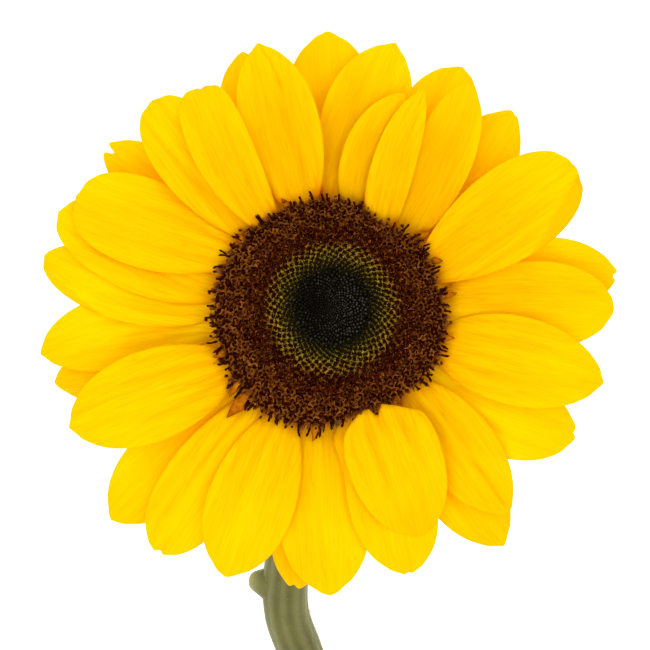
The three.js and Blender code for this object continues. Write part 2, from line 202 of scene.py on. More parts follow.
class Finish:
    """A material being put together: its nodes, and the shader that the others feed."""

    def __init__(self, name, roughness, specular):
        """An even finish to build on, with its roughness and specular level."""
        self.material = bpy.data.materials.new(name)
        self.material.use_nodes = True
        self.nodes = self.material.node_tree.nodes
        self.links = self.material.node_tree.links
        self.shader = self.nodes["Principled BSDF"]
        self.output = self.nodes["Material Output"]
        self.shader.inputs["Roughness"].default_value = roughness
        self.shader.inputs["Specular IOR Level"].default_value = specular

    def node(self, kind, inputs=None, **settings):
        """A new node. Its inputs are numbers to set, or other nodes' outputs to link."""
        made = self.nodes.new(kind)
        for key, value in settings.items():
            setattr(made, key, value)
        for key, value in (inputs or {}).items():
            socket = made.inputs[key]
            if isinstance(value, bpy.types.NodeSocket):
                self.links.new(value, socket)
            else:
                socket.default_value = value
        return made

    def stored(self, *names):
        """The numbers stored at the mesh's points under these names."""
        return [self.node("ShaderNodeAttribute", attribute_name=name).outputs["Fac"] for name in names]

    def place(self):
        """Where a point lies in its piece, in metres."""
        return self.node("ShaderNodeTexCoord").outputs["Object"]

    def vector(self, x, y, z):
        """Three numbers as one vector."""
        return self.node("ShaderNodeCombineXYZ", {0: x, 1: y, 2: z}).outputs[0]

    def noise(self, vector, scale, detail=3.0, roughness=0.6):
        """Fractal noise round a half, with scale cells to the vector's unit."""
        made = self.node("ShaderNodeTexNoise", {"Vector": vector, "Scale": scale, "Detail": detail,
                                                "Roughness": roughness})
        return made.outputs["Fac"]

    def maths(self, operation, first, second):
        """Two numbers joined by an operation of arithmetic."""
        return self.node("ShaderNodeMath", {0: first, 1: second}, operation=operation).outputs[0]

    def spread(self, socket, amount):
        """How far a number lies from a half, times an amount."""
        return self.maths("MULTIPLY", self.maths("SUBTRACT", socket, 0.5), amount)

    def ramp(self, factor, stops):
        """A colour that follows a number in straight lines between stops (number, colour)."""
        made = self.node("ShaderNodeValToRGB", {"Fac": factor})
        band = made.color_ramp
        while len(band.elements) < len(stops):
            band.elements.new(0.5)
        for element, (at, colour) in zip(band.elements, stops):
            element.position = at
            element.color = (*colour, 1)
        return made.outputs["Color"]

    def fade(self, factor, *stops):
        """A grey level that follows a number: each stop is (number, level)."""
        return self.ramp(factor, [(at, (level,) * 3) for at, level in stops])

    def mix(self, kind, factor, first, second):
        """The first colour blended with the second or multiplied by it, by a factor held to 0 to 1."""
        if isinstance(second, tuple):
            second = (*second, 1)
        made = self.node("ShaderNodeMix", {0: factor, 6: first, 7: second}, data_type="RGBA",
                         blend_type=kind)
        return made.outputs[2]

    def bump(self, height, distance, strength=1.0):
        """Shades the surface as if it stood distance metres higher where height is 1."""
        made = self.node("ShaderNodeBump", {"Height": height, "Distance": distance, "Strength": strength})
        self.links.new(made.outputs["Normal"], self.shader.inputs["Normal"])
        return made.outputs["Normal"]

    def colour(self, socket):
        """Makes this the base colour and gives the finished material."""
        self.links.new(socket, self.shader.inputs["Base Color"])
        return self.material


def stem_finish():
    """Dull olive green, paler on the ribs, streaked lengthwise, with the sheen of its down; white
    pith where it is cut."""
    finish = Finish("stem_green", 0.62, 0.2)
    finish.shader.inputs["Sheen Weight"].default_value = 0.3
    finish.shader.inputs["Sheen Roughness"].default_value = 0.4
    finish.shader.inputs["Sheen Tint"].default_value = (0.9, 0.9, 0.7, 1)
    rib, cut = finish.stored("rib", "cut")
    stretched = finish.node("ShaderNodeMapping", {"Vector": finish.place(), "Scale": (900, 60, 900)})
    streaks = finish.noise(stretched.outputs[0], 1.0, 4)
    blotches = finish.noise(finish.place(), 90, 4)
    green = finish.ramp(blotches, [(0.3, (0.050, 0.052, 0.009)), (0.7, (0.098, 0.096, 0.020))])
    green = finish.mix("MIX", finish.maths("MULTIPLY", streaks, 0.35), green, (0.15, 0.145, 0.036))
    green = finish.mix("MIX", finish.maths("MULTIPLY", rib, 0.25), green, (0.27, 0.26, 0.10))
    pith = finish.ramp(cut, [(0.0, (0.2, 0.2, 0.06)), (0.35, (0.38, 0.42, 0.16)),
                             (0.55, (0.66, 0.66, 0.44)), (1.0, (0.8, 0.79, 0.66))])
    inside = finish.maths("GREATER_THAN", cut, 0.02)
    finish.bump(finish.maths("ADD", streaks, blotches), 0.0004)
    return finish.colour(finish.mix("MIX", inside, green, pith))


def stem_grids():
    """The stalk: a circle carried along the route, its radius lowered between coarse and fine
    cosine ribs that drift round it, and raised by a bell curve at each stub. Shrinking circles close
    its top, and rings that sink inwards make the cut face."""
    rows, columns = 420, 72
    path = stem_route(rows)
    u = np.linspace(0, 1, rows)[:, None]
    full = NECK_RADIUS + (CUT_RADIUS - NECK_RADIUS) * u
    path[:, 2] = np.maximum(path[:, 2], full[:, 0] + 0.02)
    angle = full_turn(columns)
    drift = 0.8 * np.sin(7 * u) + 0.5 * np.sin(17 * u)
    rib = 0.5 + 0.5 * np.cos(RIBS * angle + 2.5 * drift)
    fine = 0.5 + 0.5 * np.cos(FINE_RIBS * angle - 4 * drift)
    swell = sum(0.05 * np.exp(-((u - at) / 0.012) ** 2)
                * (0.5 + 0.5 * np.cos(angle - math.radians(bearing))) for at, bearing in LEAF_STUBS)
    radius = full * (1 - 0.032 * (1 - rib) - 0.008 * (1 - fine) + swell * blend_from(np.sin(angle), -0.6, 0))
    slanted_rows = 15
    from_cut = np.arange(rows) - (rows - 1)
    side = carried(path, radius, CUT_SLANT * np.clip(from_cut / slanted_rows + 1, 0, 1))
    along = directions(path)[0]
    inset = np.array([0.97, 0.93, 0.8, 0.55, 0.3, 0.001])[:, None]
    sink = np.array([0.0, 0.12, 0.25, 0.5, 0.8, 0.9])[:, None, None]
    rim = side[-1] - path[-1]
    cut_face = path[-1] + rim * inset[..., None] - along[-1] * sink
    top = top_rings(path, radius)
    points = np.concatenate([top, side, cut_face])
    cut = np.concatenate([np.zeros(len(top) + rows), [0.1, 0.3, 0.6, 0.8, 0.9, 1.0]])[:, None]
    ribs = np.pad(rib, ((len(top), len(inset)), (0, 0)))
    grids = [(points, True, {"cut": cut, "rib": ribs})]
    for at, bearing in LEAF_STUBS:
        k = int(at * (rows - 1))
        grids.append(stub_grid(path[k], along[k], math.radians(bearing)))
    return grids


def top_rings(path, radius):
    """Three shrinking circles that close the top of the stalk inside the receptacle."""
    _, across, up = directions(path)
    angle = full_turn(radius.shape[1])
    ring = across[0] * np.cos(angle)[:, None] + up[0] * np.sin(angle)[:, None]
    return path[0] + ring * (radius[0] * np.array([[0.001], [0.5], [0.97]]))[..., None]


def stub_grid(centre, heading, bearing):
    """A stripped leaf stalk: a cone from the stem's middle line that leans towards the flower and
    ends in a dome. The side of it away from the flower is drawn out down the stem, by the power 1.5
    of the share of its length that is left."""
    outward = np.array([math.cos(bearing), 0, math.sin(bearing)])
    tip = centre + outward * (NECK_RADIUS + STUB_LENGTH) - heading * 0.5 * STUB_LENGTH
    part = np.array([0, 0.35, 0.5, 0.6, 0.7, 0.8, 0.88, 0.95, 1, 1.03, 1.05, 1.055])
    size = np.array([2.1, 2.05, 1.95, 1.8, 1.62, 1.45, 1.3, 1.12, 0.9, 0.68, 0.4, 0.001])
    axis = unit(tip - centre)
    side = unit(np.cross(axis, heading))
    other = np.cross(axis, side)
    angle = full_turn(20)
    ring = side * np.cos(angle)[:, None] * 0.85 + other * np.sin(angle)[:, None]
    part, size = np.append(part[0], part), np.append(0.001, size)
    middle = centre + (tip - centre) * part[:, None]
    drawn_out = STUB_FOOT * np.clip(1 - part, 0, 1) ** 1.5 * (size > 0.01)
    downward = np.clip(ring @ heading, 0, 1) * drawn_out[:, None]
    points = (middle[:, None] + ring * (STUB_RADIUS * size)[:, None, None]
              + heading * downward[..., None])
    pale = blend_from(part, 0.7, 1.05)[:, None]
    return points, True, {"cut": 0.0, "rib": 0.6 + 2.6 * pale}


mesh_piece("stem_stalk", stem_grids(), stem_finish(), ["stem"])


# ---- Receptacle and bracts ------------------------------------------------------------------
# The fleshy green base of the head, a shallow bowl that widens from the stem, and two rows of
# pointed leafy bracts that grow out of it and stand behind the petals.

def blade(row_steps, w, base_at, tip_at, base_radius, reach, width, bow, belly, tip, base_height, level,
          tip_height, cup, point=0.001, shoulder=(0, 0.1)):
    """One petal or bract as a sheet in the head's frame: u runs from base to tip and w from the left
    edge (+1) to the right (-1). Its middle line is, in plan, a quadratic curve from the base circle
    to the tip, bowed to its left, and in height a cubic that reaches level at mid-length. Its half
    width is a beta curve, widest at belly, drawn to a sharper tip over about the share point of its
    length; a shoulder (fullness, share of length) rounds its foot as a quarter circle. The edges
    stand above the middle by cup times the fullness.
    It gives points, half width, fullness, and the unit vectors along and to the left."""
    u = row_steps[:, None]
    a, b = math.radians(base_at), math.radians(tip_at)
    start = base_radius * np.array([math.cos(a), math.sin(a)])
    end = reach * np.array([math.cos(b), math.sin(b)])
    chord = unit(end - start)
    control = (start + end) / 2 + 2 * bow * np.array([-chord[1], chord[0]])
    plan = (1 - u) ** 2 * start + 2 * u * (1 - u) * control + u**2 * end
    heading = unit((1 - u) * (control - start) + u * (end - control))
    left = np.column_stack([-heading[:, 1], heading[:, 0]])
    swell = (level - (base_height + tip_height) / 8) / 0.75
    height = base_height * (1 - u) ** 3 + 3 * swell * u * (1 - u) + tip_height * u**3
    along = 0.06 + 0.94 * u
    full = (along / belly) ** (tip * belly / (1 - belly)) * ((1 - along) / (1 - belly)) ** tip
    full = full * (1 - np.exp(-2.2 * (1 - u) / point)) ** (0.9 - min(tip, 0.9))
    round_foot = np.sqrt(1 - np.clip(0.85 - u / shoulder[1], 0, 1) ** 2)
    full = np.maximum(full, shoulder[0] * round_foot * (u < 0.5))
    half = width / 2 * full
    points = np.zeros((len(u), len(w), 3))
    points[..., :2] = plan[:, None] + left[:, None] * (half * w)[..., None]
    points[..., 2] = height + cup * full * w**2
    return points, half, full, heading, left


def shell_round(sheet, thickness):
    """A closed thin body: the sheet's upper face, its lower face below it by thickness, and at both
    ends a row half-way between the two. Columns run round the cross-section."""
    lower = sheet - np.stack([0 * thickness, 0 * thickness, thickness], -1)
    around = np.concatenate([sheet, lower[:, ::-1]], axis=1)
    ends = (around[[0, -1]] + around[[0, -1], ::-1]) / 2
    return np.concatenate([ends[:1], around, ends[1:]])


def both_faces(value, shape):
    """A number given on a sheet, repeated on its lower face and its two end rows."""
    value = np.broadcast_to(value, shape)
    around = np.concatenate([value, value[:, ::-1]], axis=1)
    return np.concatenate([around[:1], around, around[-1:]])


def from_head(points):
    """From the head's frame (right, away, out of its face) to the table's."""
    across = np.array([1.0, 0, 0])
    away = np.array([0, math.cos(HEAD_TILT), -math.sin(HEAD_TILT)])
    out = np.array([0, math.sin(HEAD_TILT), math.cos(HEAD_TILT)])
    return HEAD_CENTRE + points @ np.stack([across, away, out])


def round_axis(radius, angle, height):
    """Points at a radius, an angle and a height about an upright axis."""
    return np.stack(np.broadcast_arrays(radius * np.cos(angle), radius * np.sin(angle), height), -1)


def turned(profile, columns, wobble=0.0):
    """A profile of (radius, height) points turned round the head's axis. The radius swells by
    wobble, as a share, in a few soft lobes."""
    angle = full_turn(columns)
    lobes = 1 + wobble * (np.sin(5 * angle + 1) + 0.6 * np.sin(13 * angle))
    return round_axis(np.maximum(profile[:, :1], 0.001) * lobes, angle, profile[:, 1:])


# Profiles of the bowl and of its collar: radius and height, from the axis or round.
RECEPTACLE = np.array([[0, -19], [3, -19.1], [6.0, -19], [7.2, -18.5], [9, -17.5], [12.5, -16.5],
                       [16, -15.3], [19.5, -13.9], [23, -12.1], [25.8, -10.2], [28, -8.1], [29.1, -6.8],
                       [29.6, -5.7], [29.7, -4.9], [29.2, -4.4], [26, -4.3], [25.7, -4], [25.7, -1.5],
                       [25, -1.3], [0, -1.3]])
COLLAR = np.array([[26, -4.2], [29, -4.2], [29.8, -3.5], [30, -2.6], [29.9, -1.2], [29.6, 0],
                   [29.1, 0.8], [28.2, 1.3], [26, 1.5], [25.9, 0], [26, -4.2]])
BROWN_FROM = -1.25
BRACTS_IN_ROW = 15
BRACT_COLUMNS = 21


def bract_grids():
    """Thirty bracts: the blade, lowered by a bell curve along the midrib to a keel, with cosine
    nerves across it and waves that grow as the cube towards its edges. The row nearer the stem is
    shorter and stands further back."""
    grids = []
    u = np.sin(np.pi / 2 * np.linspace(0, 1, 49)) * 0.996
    w = np.linspace(1, -1, BRACT_COLUMNS)
    for row in range(2):
        for index in range(BRACTS_IN_ROW):
            sway = math.sin(2.4 * index + row)
            at = 360 / BRACTS_IN_ROW * (index + row / 2) + 2 * sway
            points, _, full, _, _ = blade(
                u, w, base_at=at, tip_at=at + 3 * sway, base_radius=25.5 - 2.5 * row,
                reach=47 - 5 * row + 1.6 * sway, width=12.5, bow=0.6 * sway, belly=0.4, tip=1.15,
                base_height=-6.4 - 3 * row, level=-8.4 - 2.7 * row,
                tip_height=-9 - 4.5 * row + 0.8 * sway, cup=1)
            keel = -0.3 * full * np.exp(-(w / 0.1) ** 2)
            nerves = 0.07 * full * np.cos(9 * np.pi * w) * (1 - w**2)
            waves = 0.45 * np.abs(w) ** 3 * np.sin(15 * u[:, None] + 3 * w + 5 * sway) * np.sqrt(full)
            points[..., 2] += keel + nerves + waves
            thickness = (0.35 + 0.35 * full * np.exp(-(w / 0.14) ** 2)) * (1 - 0.7 * np.abs(w) ** 4)
            shape = points.shape[:2]
            grids.append((shell_round(from_head(points), thickness), True,
                          {"along": both_faces(u[:, None], shape), "across": both_faces(6 * w, shape),
                           "seed": 0.5 + 0.5 * sway}))
    return grids


def bract_finish():
    """Leaf green, paler towards the foot and along the nerves, browned at the very tips."""
    finish = Finish("bract_green", 0.55, 0.3)
    along, across, seed = finish.stored("along", "across", "seed")
    vector = finish.vector(across, finish.maths("MULTIPLY", along, 1.6), seed)
    nerves = finish.noise(vector, 2.2, 4)
    blotches = finish.noise(finish.place(), 260, 4)
    mixed = finish.maths("ADD", finish.maths("MULTIPLY", nerves, 0.6),
                         finish.maths("MULTIPLY", blotches, 0.4))
    leaf = finish.ramp(mixed, [(0.36, (0.060, 0.105, 0.018)), (0.62, (0.175, 0.235, 0.055))])
    foot = finish.fade(along, (0.0, 0.8), (0.3, 0))
    leaf = finish.mix("MIX", foot, leaf, (0.30, 0.36, 0.10))
    dry = finish.fade(along, (0.9, 0), (1.0, 0.8))
    leaf = finish.mix("MIX", dry, leaf, (0.20, 0.11, 0.03))
    finish.bump(mixed, 0.0003, 0.7)
    return finish.colour(leaf)


def receptacle_grids():
    """The bowl and the collar, each a profile turned round the head's axis and closed. Above
    BROWN_FROM, where the florets stand on it, the collar is brown."""
    grids = []
    for profile, wobble in ((RECEPTACLE, 0.006), (COLLAR, 0.0)):
        points = turned(profile, 120, wobble)
        browned = 0.2 + 0.8 * (profile[:, 1:] > BROWN_FROM)
        grids.append((from_head(points), True, {"along": browned, "across": 0.0, "seed": 0.5}))
    return grids


bract_green = bract_finish()
mesh_piece("bracts", bract_grids(), bract_green, ["involucre"])
mesh_piece("receptacle", receptacle_grids(), bract_green, ["involucre"])


# ---- Ray florets ----------------------------------------------------------------------------
# Thirty-two thin yellow petals in three overlapping rows, attached round the rim of the disc.
# Each is grooved and veined lengthwise, with its own waved edge and its own tip.

PETAL_INSET = 2.2                                 # how far the feet reach in under the disc's rim
# Radius of the disc's rim at every 20 degrees of bearing, anticlockwise from the right.
RIM_TABLE = [29.6, 28.0, 29.0, 26.6, 29.0, 29.9, 29.2, 31.0, 31.2, 31.4, 30.7, 32.2, 30.9, 30.4, 27.5,
             27.4, 29.4, 29.6, 29.6]


def rim_at(bearing):
    """The disc's radius at a bearing in radians: straight lines between the entries of the table."""
    turn = np.mod(bearing, 2 * np.pi) / (2 * np.pi)
    return np.interp(turn, np.linspace(0, 1, len(RIM_TABLE)), RIM_TABLE)


PETAL_THICKNESS = 0.34
FURROW_DEPTH = 0.34
FURROW_AT = 0.38                                  # share of the half width
BASE_HEIGHT = {"front": 4.4, "middle": 3.2, "back": 2.0}
# Painted light: the back rows, lying in the others' shade, are mixed towards a paler yellow. Painted shade
# towards the tips, deepest on the back rows.
ROW_PAINTED_LIGHT = {"front": 0.0, "middle": 0.1, "back": 0.34}
TIP_SHADE = {"front": 0.1, "middle": 0.22, "back": 0.6}
# The tables below name petals by their place in PETALS.
# Feet that swell over the rim of the disc: base radius, base height, shoulder.
SWOLLEN_FEET = {2: (26.0, 3.8, (0.4, 0.2)), 20: (28.4, 3.6, (0.55, 0.2)), 23: (28.4, 3.6, (0.55, 0.2)),
                25: (27.8, 3.2, (0.5, 0.2)), 26: (26.6, 5.2, (0.8, 0.15)), 27: (26.2, 8.8, (0.84, 0.2)),
                29: (27.6, 4.6, (0.6, 0.2)), 31: (27.6, 3.6, (0.5, 0.2))}
# Sharp lengthwise folds: where across the petal (left +1, right -1), depth, from where along. The depth also
# sets painted shade along the crease.
FOLDS = {6: (-0.3, 0.5, 0.0), 8: (0.2, 0.5, 0.0), 9: (0.25, 0.4, 0.2), 10: (-0.3, 0.8, 0.0),
         13: (0.4, 0.4, 0.1), 16: (0.3, 0.4, 0.0), 21: (-0.1, 0.4, 0.4), 22: (-0.35, 0.5, 0.4),
         26: (0.1, 0.4, 0.5), 28: (0.0, 0.4, 0.3), 29: (0.12, 0.7, 0.0)}
# Edges folded down towards the tip: the fold's place there, and where along it leaves the edge. The flap is
# darkened as painted shade.
FLAPS = {2: (-0.36, 0.42), 17: (0.5, 0.5)}
# Share of the length over which the tip is drawn to a point: a small share leaves it blunt.
BLUNT_TIPS = {0: 0.05, 2: 0.03, 3: 0.3, 12: 0.015, 13: 0.03, 15: 0.03, 16: 0.035, 17: 0.04, 18: 0.06,
              31: 0.08}
# Painted shade along the hollow middle, between paler raised edges, also set per petal to darken petals that
# lie in shade: 0.1 where none is given.
HOLLOW_PAINTED_SHADE = {0: 0.35, 2: 0.75, 3: 0.8, 4: 1.05, 5: 0.5, 6: 0.7, 7: 1.25, 8: 1.15, 9: 0.3, 10: 0.8,
           12: 0.5, 14: 0.3, 16: 0.2, 17: 0.2, 21: 0.8, 23: 0.3, 26: 0.7, 30: 0.3, 31: 0.3}
FAR_PETALS = range(3, 11)                         # their edges are drawn in further from the foot
# Row, base bearing, tip bearing, reach, width, bow, belly, tip, level, tip height, cup, depth of
# the notch in the tip, rise of the tip's curl.
PETALS = [
    ("middle", 3, 1.1, 73.1, 22.4, 0.9, 0.58, 0.55, 6, 4, 0.4, 0.0, 0.6),
    ("back", 14, 7.8, 75.2, 20.2, 1, 0.6, 0.55, 3, 2, 0.3, 1.6, 0.4),
    ("front", 24, 30.9, 73.3, 23.4, 0, 0.62, 0.45, 9.5, 9, 2, 0.0, 0.5),
    ("back", 36, 48.1, 71.1, 20.8, 0, 0.56, 0.62, 2.5, 0, 0.3, 0.5, 0.6),
    ("middle", 47, 59.3, 69.4, 15.5, -1.4, 0.55, 0.55, 7, 3, 1, 0.0, 0.8),
    ("back", 60, 62, 73.2, 20.3, 0, 0.62, 0.5, 3.5, -6.4, 0.4, 0.0, 0.0),
    ("front", 60, 67.7, 62.4, 11, 1.7, 0.45, 0.5, 10.5, 8, -1.2, 0.0, 0.0),
    ("middle", 76, 71.6, 60, 12.5, 3.3, 0.5, 0.6, 8, 6, -0.6, 0.0, 0.0),
    ("middle", 88, 76.8, 72.2, 21.5, 1.2, 0.58, 0.6, 5.2, 1, 0.5, 0.0, 0.5),
    ("back", 92.5, 91.2, 73.6, 21, -1.0, 0.66, 0.6, 2, -0.6, 0.3, 0.0, 0.2),
    ("front", 105.4, 105.3, 72.8, 20, 0, 0.55, 0.6, 9.5, 2, 0.8, 0.0, 0.3),
    ("back", 117, 108.7, 72.4, 16.8, 1.5, 0.6, 0.5, 4.5, -4, 0.3, 0.0, 0.0),
    ("front", 125, 120.4, 68.1, 15.5, 2, 0.66, 0.3, 11.5, 5, 0.6, 0.7, -0.4),
    ("middle", 134.7, 130.4, 72.3, 19.5, 0, 0.62, 0.45, 9.3, 3, 0.3, 0.0, 0.3),
    ("back", 141, 143.6, 73.8, 16.2, 0, 0.6, 0.5, 2.5, 1, 0.3, 3.4, 0.4),
    ("front", 147, 155.6, 72.8, 22.5, 0.6, 0.62, 0.4, 7.5, 5, -0.5, 0.0, -0.3),
    ("middle", 166, 159.6, 75.6, 19.8, 1, 0.55, 0.46, 5.5, 3, -0.3, 0.0, 0.4),
    ("back", 175, 168.7, 76.3, 16.4, 2.6, 0.55, 0.45, 3.7, 2, 0.3, 0.0, 0.3),
    ("back", -172, -172.1, 76.4, 19, -3, 0.6, 0.66, 1.8, 0, 0.3, 0.0, 0.5),
    ("back", -163, -166.2, 74.6, 17.4, 0, 0.6, 0.6, 0.2, -2, 0.2, 0.0, 0.4),
    ("front", -153, -156.6, 74.1, 23.1, 0, 0.55, 0.6, 9.5, 5, -1, 0.0, -0.5),
    ("back", -140, -136.9, 78.6, 20.8, 0, 0.6, 0.5, 2.2, 0, 0.3, 0.0, 0.5),
    ("middle", -130.6, -126.3, 77.3, 20, 0, 0.6, 0.5, 6, 2, -0.4, 1.5, -0.3),
    ("front", -116, -112.3, 73.6, 22.3, 0, 0.58, 0.55, 9.5, 5, -1.4, 0.0, -0.5),
    ("back", -98, -97.6, 72.5, 17, 0, 0.6, 0.5, 2.2, 0, 0.3, 1.2, 0.3),
    ("middle", -96.7, -90.3, 73.2, 22.6, -0.4, 0.62, 0.6, 6.6, 2.6, -1, 0.0, -0.3),
    ("middle", -75, -73.6, 70.9, 21.8, 1.3, 0.6, 0.55, 8.6, 2, -0.4, 1.0, -0.3),
    ("front", -65.2, -67.9, 61.9, 24.6, 0, 0.42, 0.45, 11.5, 7, -1.8, 0.0, -0.6),
    ("back", -50, -53.5, 75, 20.2, 0, 0.6, 0.6, 2.8, 0, 0.3, 0.0, 0.5),
    ("middle", -42, -48.5, 69.2, 19, 0, 0.52, 0.65, 7, 5, -0.8, 0.8, 0.3),
    ("back", -30.6, -26.2, 70.8, 22, -2.5, 0.55, 0.55, 4.6, 4, 0.3, 0.9, 0.4),
    ("front", -14.7, -14.1, 72.4, 22.6, 0, 0.52, 0.65, 9, 6, -0.8, 0.0, -0.4),
]
PETAL_ROWS = 76
PETAL_COLUMNS = 27


def petal_grid(index):
    """One petal, a closed shell round the blade's sheet. What is added to the sheet's height: a bell
    curve for each groove and crease, the square of a cosine for the pleats at the foot, a cosine for
    the nerves, sines that grow as the cube towards the edges, a gathered or swollen foot, a curl that
    grows as the square at the tip, and a flap that falls away beyond its line. A bell curve across
    the tip pulls the notch back along the petal; the swollen foot is set back at its corners,
    squeezed on its right and cleft.
    Its painted shade is 0 to 1 in the grooves and pleats, the hollow middle, towards the tip, along the
    creases and over the flap, and up to 2 in the gathered foot and along the edges near it."""
    (row, base_at, tip_at, reach, width, bow, belly, tip, level, tip_height, cup,
     notch, curl) = PETALS[index]
    plain_foot = (rim_at(math.radians(base_at)) - PETAL_INSET, BASE_HEIGHT[row], (0, 0.1))
    base_radius, base_height, shoulder = SWOLLEN_FEET.get(index, plain_foot)
    draw = np.random.default_rng(400 + index)
    phase = draw.uniform(0, 2 * np.pi, 6)
    point = BLUNT_TIPS.get(index, draw.uniform(0.1, 0.2))
    even, even_w = np.linspace(0, 1, PETAL_ROWS), np.linspace(1, -1, PETAL_COLUMNS)
    steps = 0.6 * np.sin(np.pi / 2 * even) + 0.4 * even
    w = 0.55 * np.sin(np.pi / 2 * even_w) + 0.45 * even_w
    points, half, full, heading, left = blade(
        steps * 0.9985, w, base_at, tip_at, base_radius, reach, 1.02 * width, bow, belly, tip,
        base_height, level, tip_height, cup, point, shoulder)
    u = steps[:, None]
    near_foot = 1 - blend_from(u, 0.12, 0.72)
    nearside = 0.5 - 0.5 * math.sin(math.radians(base_at))
    swollen = shoulder[0] > 0.8

    # Grooves, pleats, nerves and waves; the first three wander a little on their way to the tip.
    wander = w + 0.07 * np.sin(4 * u + phase[0]) + 0.03 * np.sin(11 * u + phase[1])
    groove = np.exp(-((np.abs(wander) - FURROW_AT) / 0.09) ** 2)
    ridge = 0.5 + 0.5 * np.cos(2 * np.pi * 2.35 * wander + 0.4 * phase[1])
    pleats = -0.26 * np.sqrt(full) * (1 - ridge) ** 2 * (0.1 + 0.9 * near_foot) * blend_from(u, 0, 0.12)
    nerves = 0.035 * full * np.cos(2 * np.pi * 7.5 * wander + phase[2])
    edge = np.abs(w) ** 3 * blend_from(u, 0.1, 0.5) * np.sqrt(full)
    waves = edge * (0.42 * np.sin(9 * u + phase[3] + 2 * np.sign(w))
                    + 0.22 * np.sin(21 * u + phase[4] * w))

    # The sharp fold, and the flap beyond a line that comes in from the edge.
    fold_at, fold_depth, fold_from = FOLDS.get(index, (0, 0, 0))
    crease = np.exp(-((wander - fold_at) / 0.05) ** 2) * blend_from(u, fold_from, fold_from + 0.25)
    crease = crease * (1 - 0.6 * blend_from(u, 0.9, 1))
    flap_at, flap_from = FLAPS.get(index, (2, 0.4))
    flap_line = 1 - (1 - abs(flap_at)) * blend_from(u, flap_from, 0.95)
    flap = np.clip(w * np.sign(flap_at) - flap_line, 0, 1)

    # The foot.
    cleft = swollen * np.exp(-((w + 0.04) / 0.13) ** 2)
    foot = (-1.2 * np.exp(-u / 0.1) * w**2 * (not swollen)
            - 1.2 * swollen * (1 - blend_from(u, 0, 0.05)) ** 2 - 0.9 * cleft * np.exp(-u / 0.1))
    set_back = np.where(w > 0, 4.6 * w**2, 2.4 * w**4)
    foot_reach = swollen * set_back * np.exp(-u / 0.1) + 2.8 * cleft * np.exp(-u / 0.06)
    squeeze = 1.2 * swollen * np.clip(-w, 0, 1) * np.exp(-u / 0.3)
    # Painted shade in the foot: in the cleft of a swollen foot, and towards the edges of the other feet
    # where they gather, less on the near side; the far petals have it further out along their edges.
    painted_foot_shade = np.where(swollen, cleft * np.exp(-u / 0.12),
                     (0.2 + 0.6 * np.abs(w) ** 1.5) * blend_from(-u, -0.2, -0.03) * (1 - 0.75 * nearside)
                     + 0.5 * np.abs(w) ** 4 * blend_from(-u, -0.5, -0.1) * (index in FAR_PETALS))
    painted_edge_shade = blend_from(np.abs(w), 0.84, 0.98) * blend_from(-u, -0.42, -0.05) * (1 - 0.5 * nearside)
    painted_foot_shade = np.maximum(painted_foot_shade, 0.75 * painted_edge_shade * (not swollen))

    # The tip.
    tip_curl = curl * blend_from(u, 0.78, 1.0) ** 2
    lateral = half * w
    notch_at = 0.5 * np.sin(phase[4])
    pull = (notch * np.exp(-((lateral - notch_at) / 0.8) ** 2) * blend_from(u, 0.84, 0.99)
            + 0.12 * np.sin(1.5 * lateral + phase[5]) * blend_from(u, 0.85, 0.98))

    points[..., 2] += (-FURROW_DEPTH * full * groove + pleats + nerves + waves + foot + tip_curl
                       - fold_depth * np.sqrt(full) * crease - 4.0 * flap)
    points[..., :2] += (left[:, None] * squeeze[..., None]
                        - heading[:, None] * (pull - foot_reach)[..., None])
    thickness = PETAL_THICKNESS * (1 - 0.6 * np.abs(w) ** 6) * np.minimum(1, 0.25 + 4 * (1 - u))

    # Painted shade, 0 to 1: orange in the grooves and between the pleats near the foot, in the hollow
    # middle, towards the tip (more on the back rows and the near side), along the creases and over the flap;
    # from 1 to 2, rust in the gathered foot and along its edges.
    painted_shade = np.clip(groove * (0.12 + 0.6 * near_foot) + 0.8 * (1 - ridge) ** 4 * near_foot, 0, 1)
    painted_hollow_and_tip_shade = HOLLOW_PAINTED_SHADE.get(index, 0.1) * (1 - np.abs(w) ** 2.5) * blend_from(-u, -0.97, -0.55)
    painted_hollow_and_tip_shade = painted_hollow_and_tip_shade + (TIP_SHADE[row] + 0.4 * nearside) * blend_from(u, 0.55, 0.95) * (1 - painted_hollow_and_tip_shade)
    painted_shade = painted_shade + painted_hollow_and_tip_shade * (1 - painted_shade)
    painted_shade = np.maximum(np.maximum(painted_shade, crease * fold_depth), blend_from(flap, 0, 0.08))
    painted_shade = painted_shade + np.clip(painted_foot_shade, 0, 1) * (2 - painted_shade)
    shape = lateral.shape
    # Swollen feet and those on the near side start further along the foot's orange, which is partly painted
    # shade: painted light there.
    values = {"along": both_faces(np.maximum(u, 0.12 * max(swollen, 0.8 * nearside)), shape),
              "across": both_faces(lateral, shape),
              "seed": index * 3.7,
              "shade": ROW_PAINTED_LIGHT[row] + draw.uniform(-0.1, 0.1),
              "painted_shade": both_faces(painted_shade, shape)}
    return row, (shell_round(from_head(points), thickness), True, values)


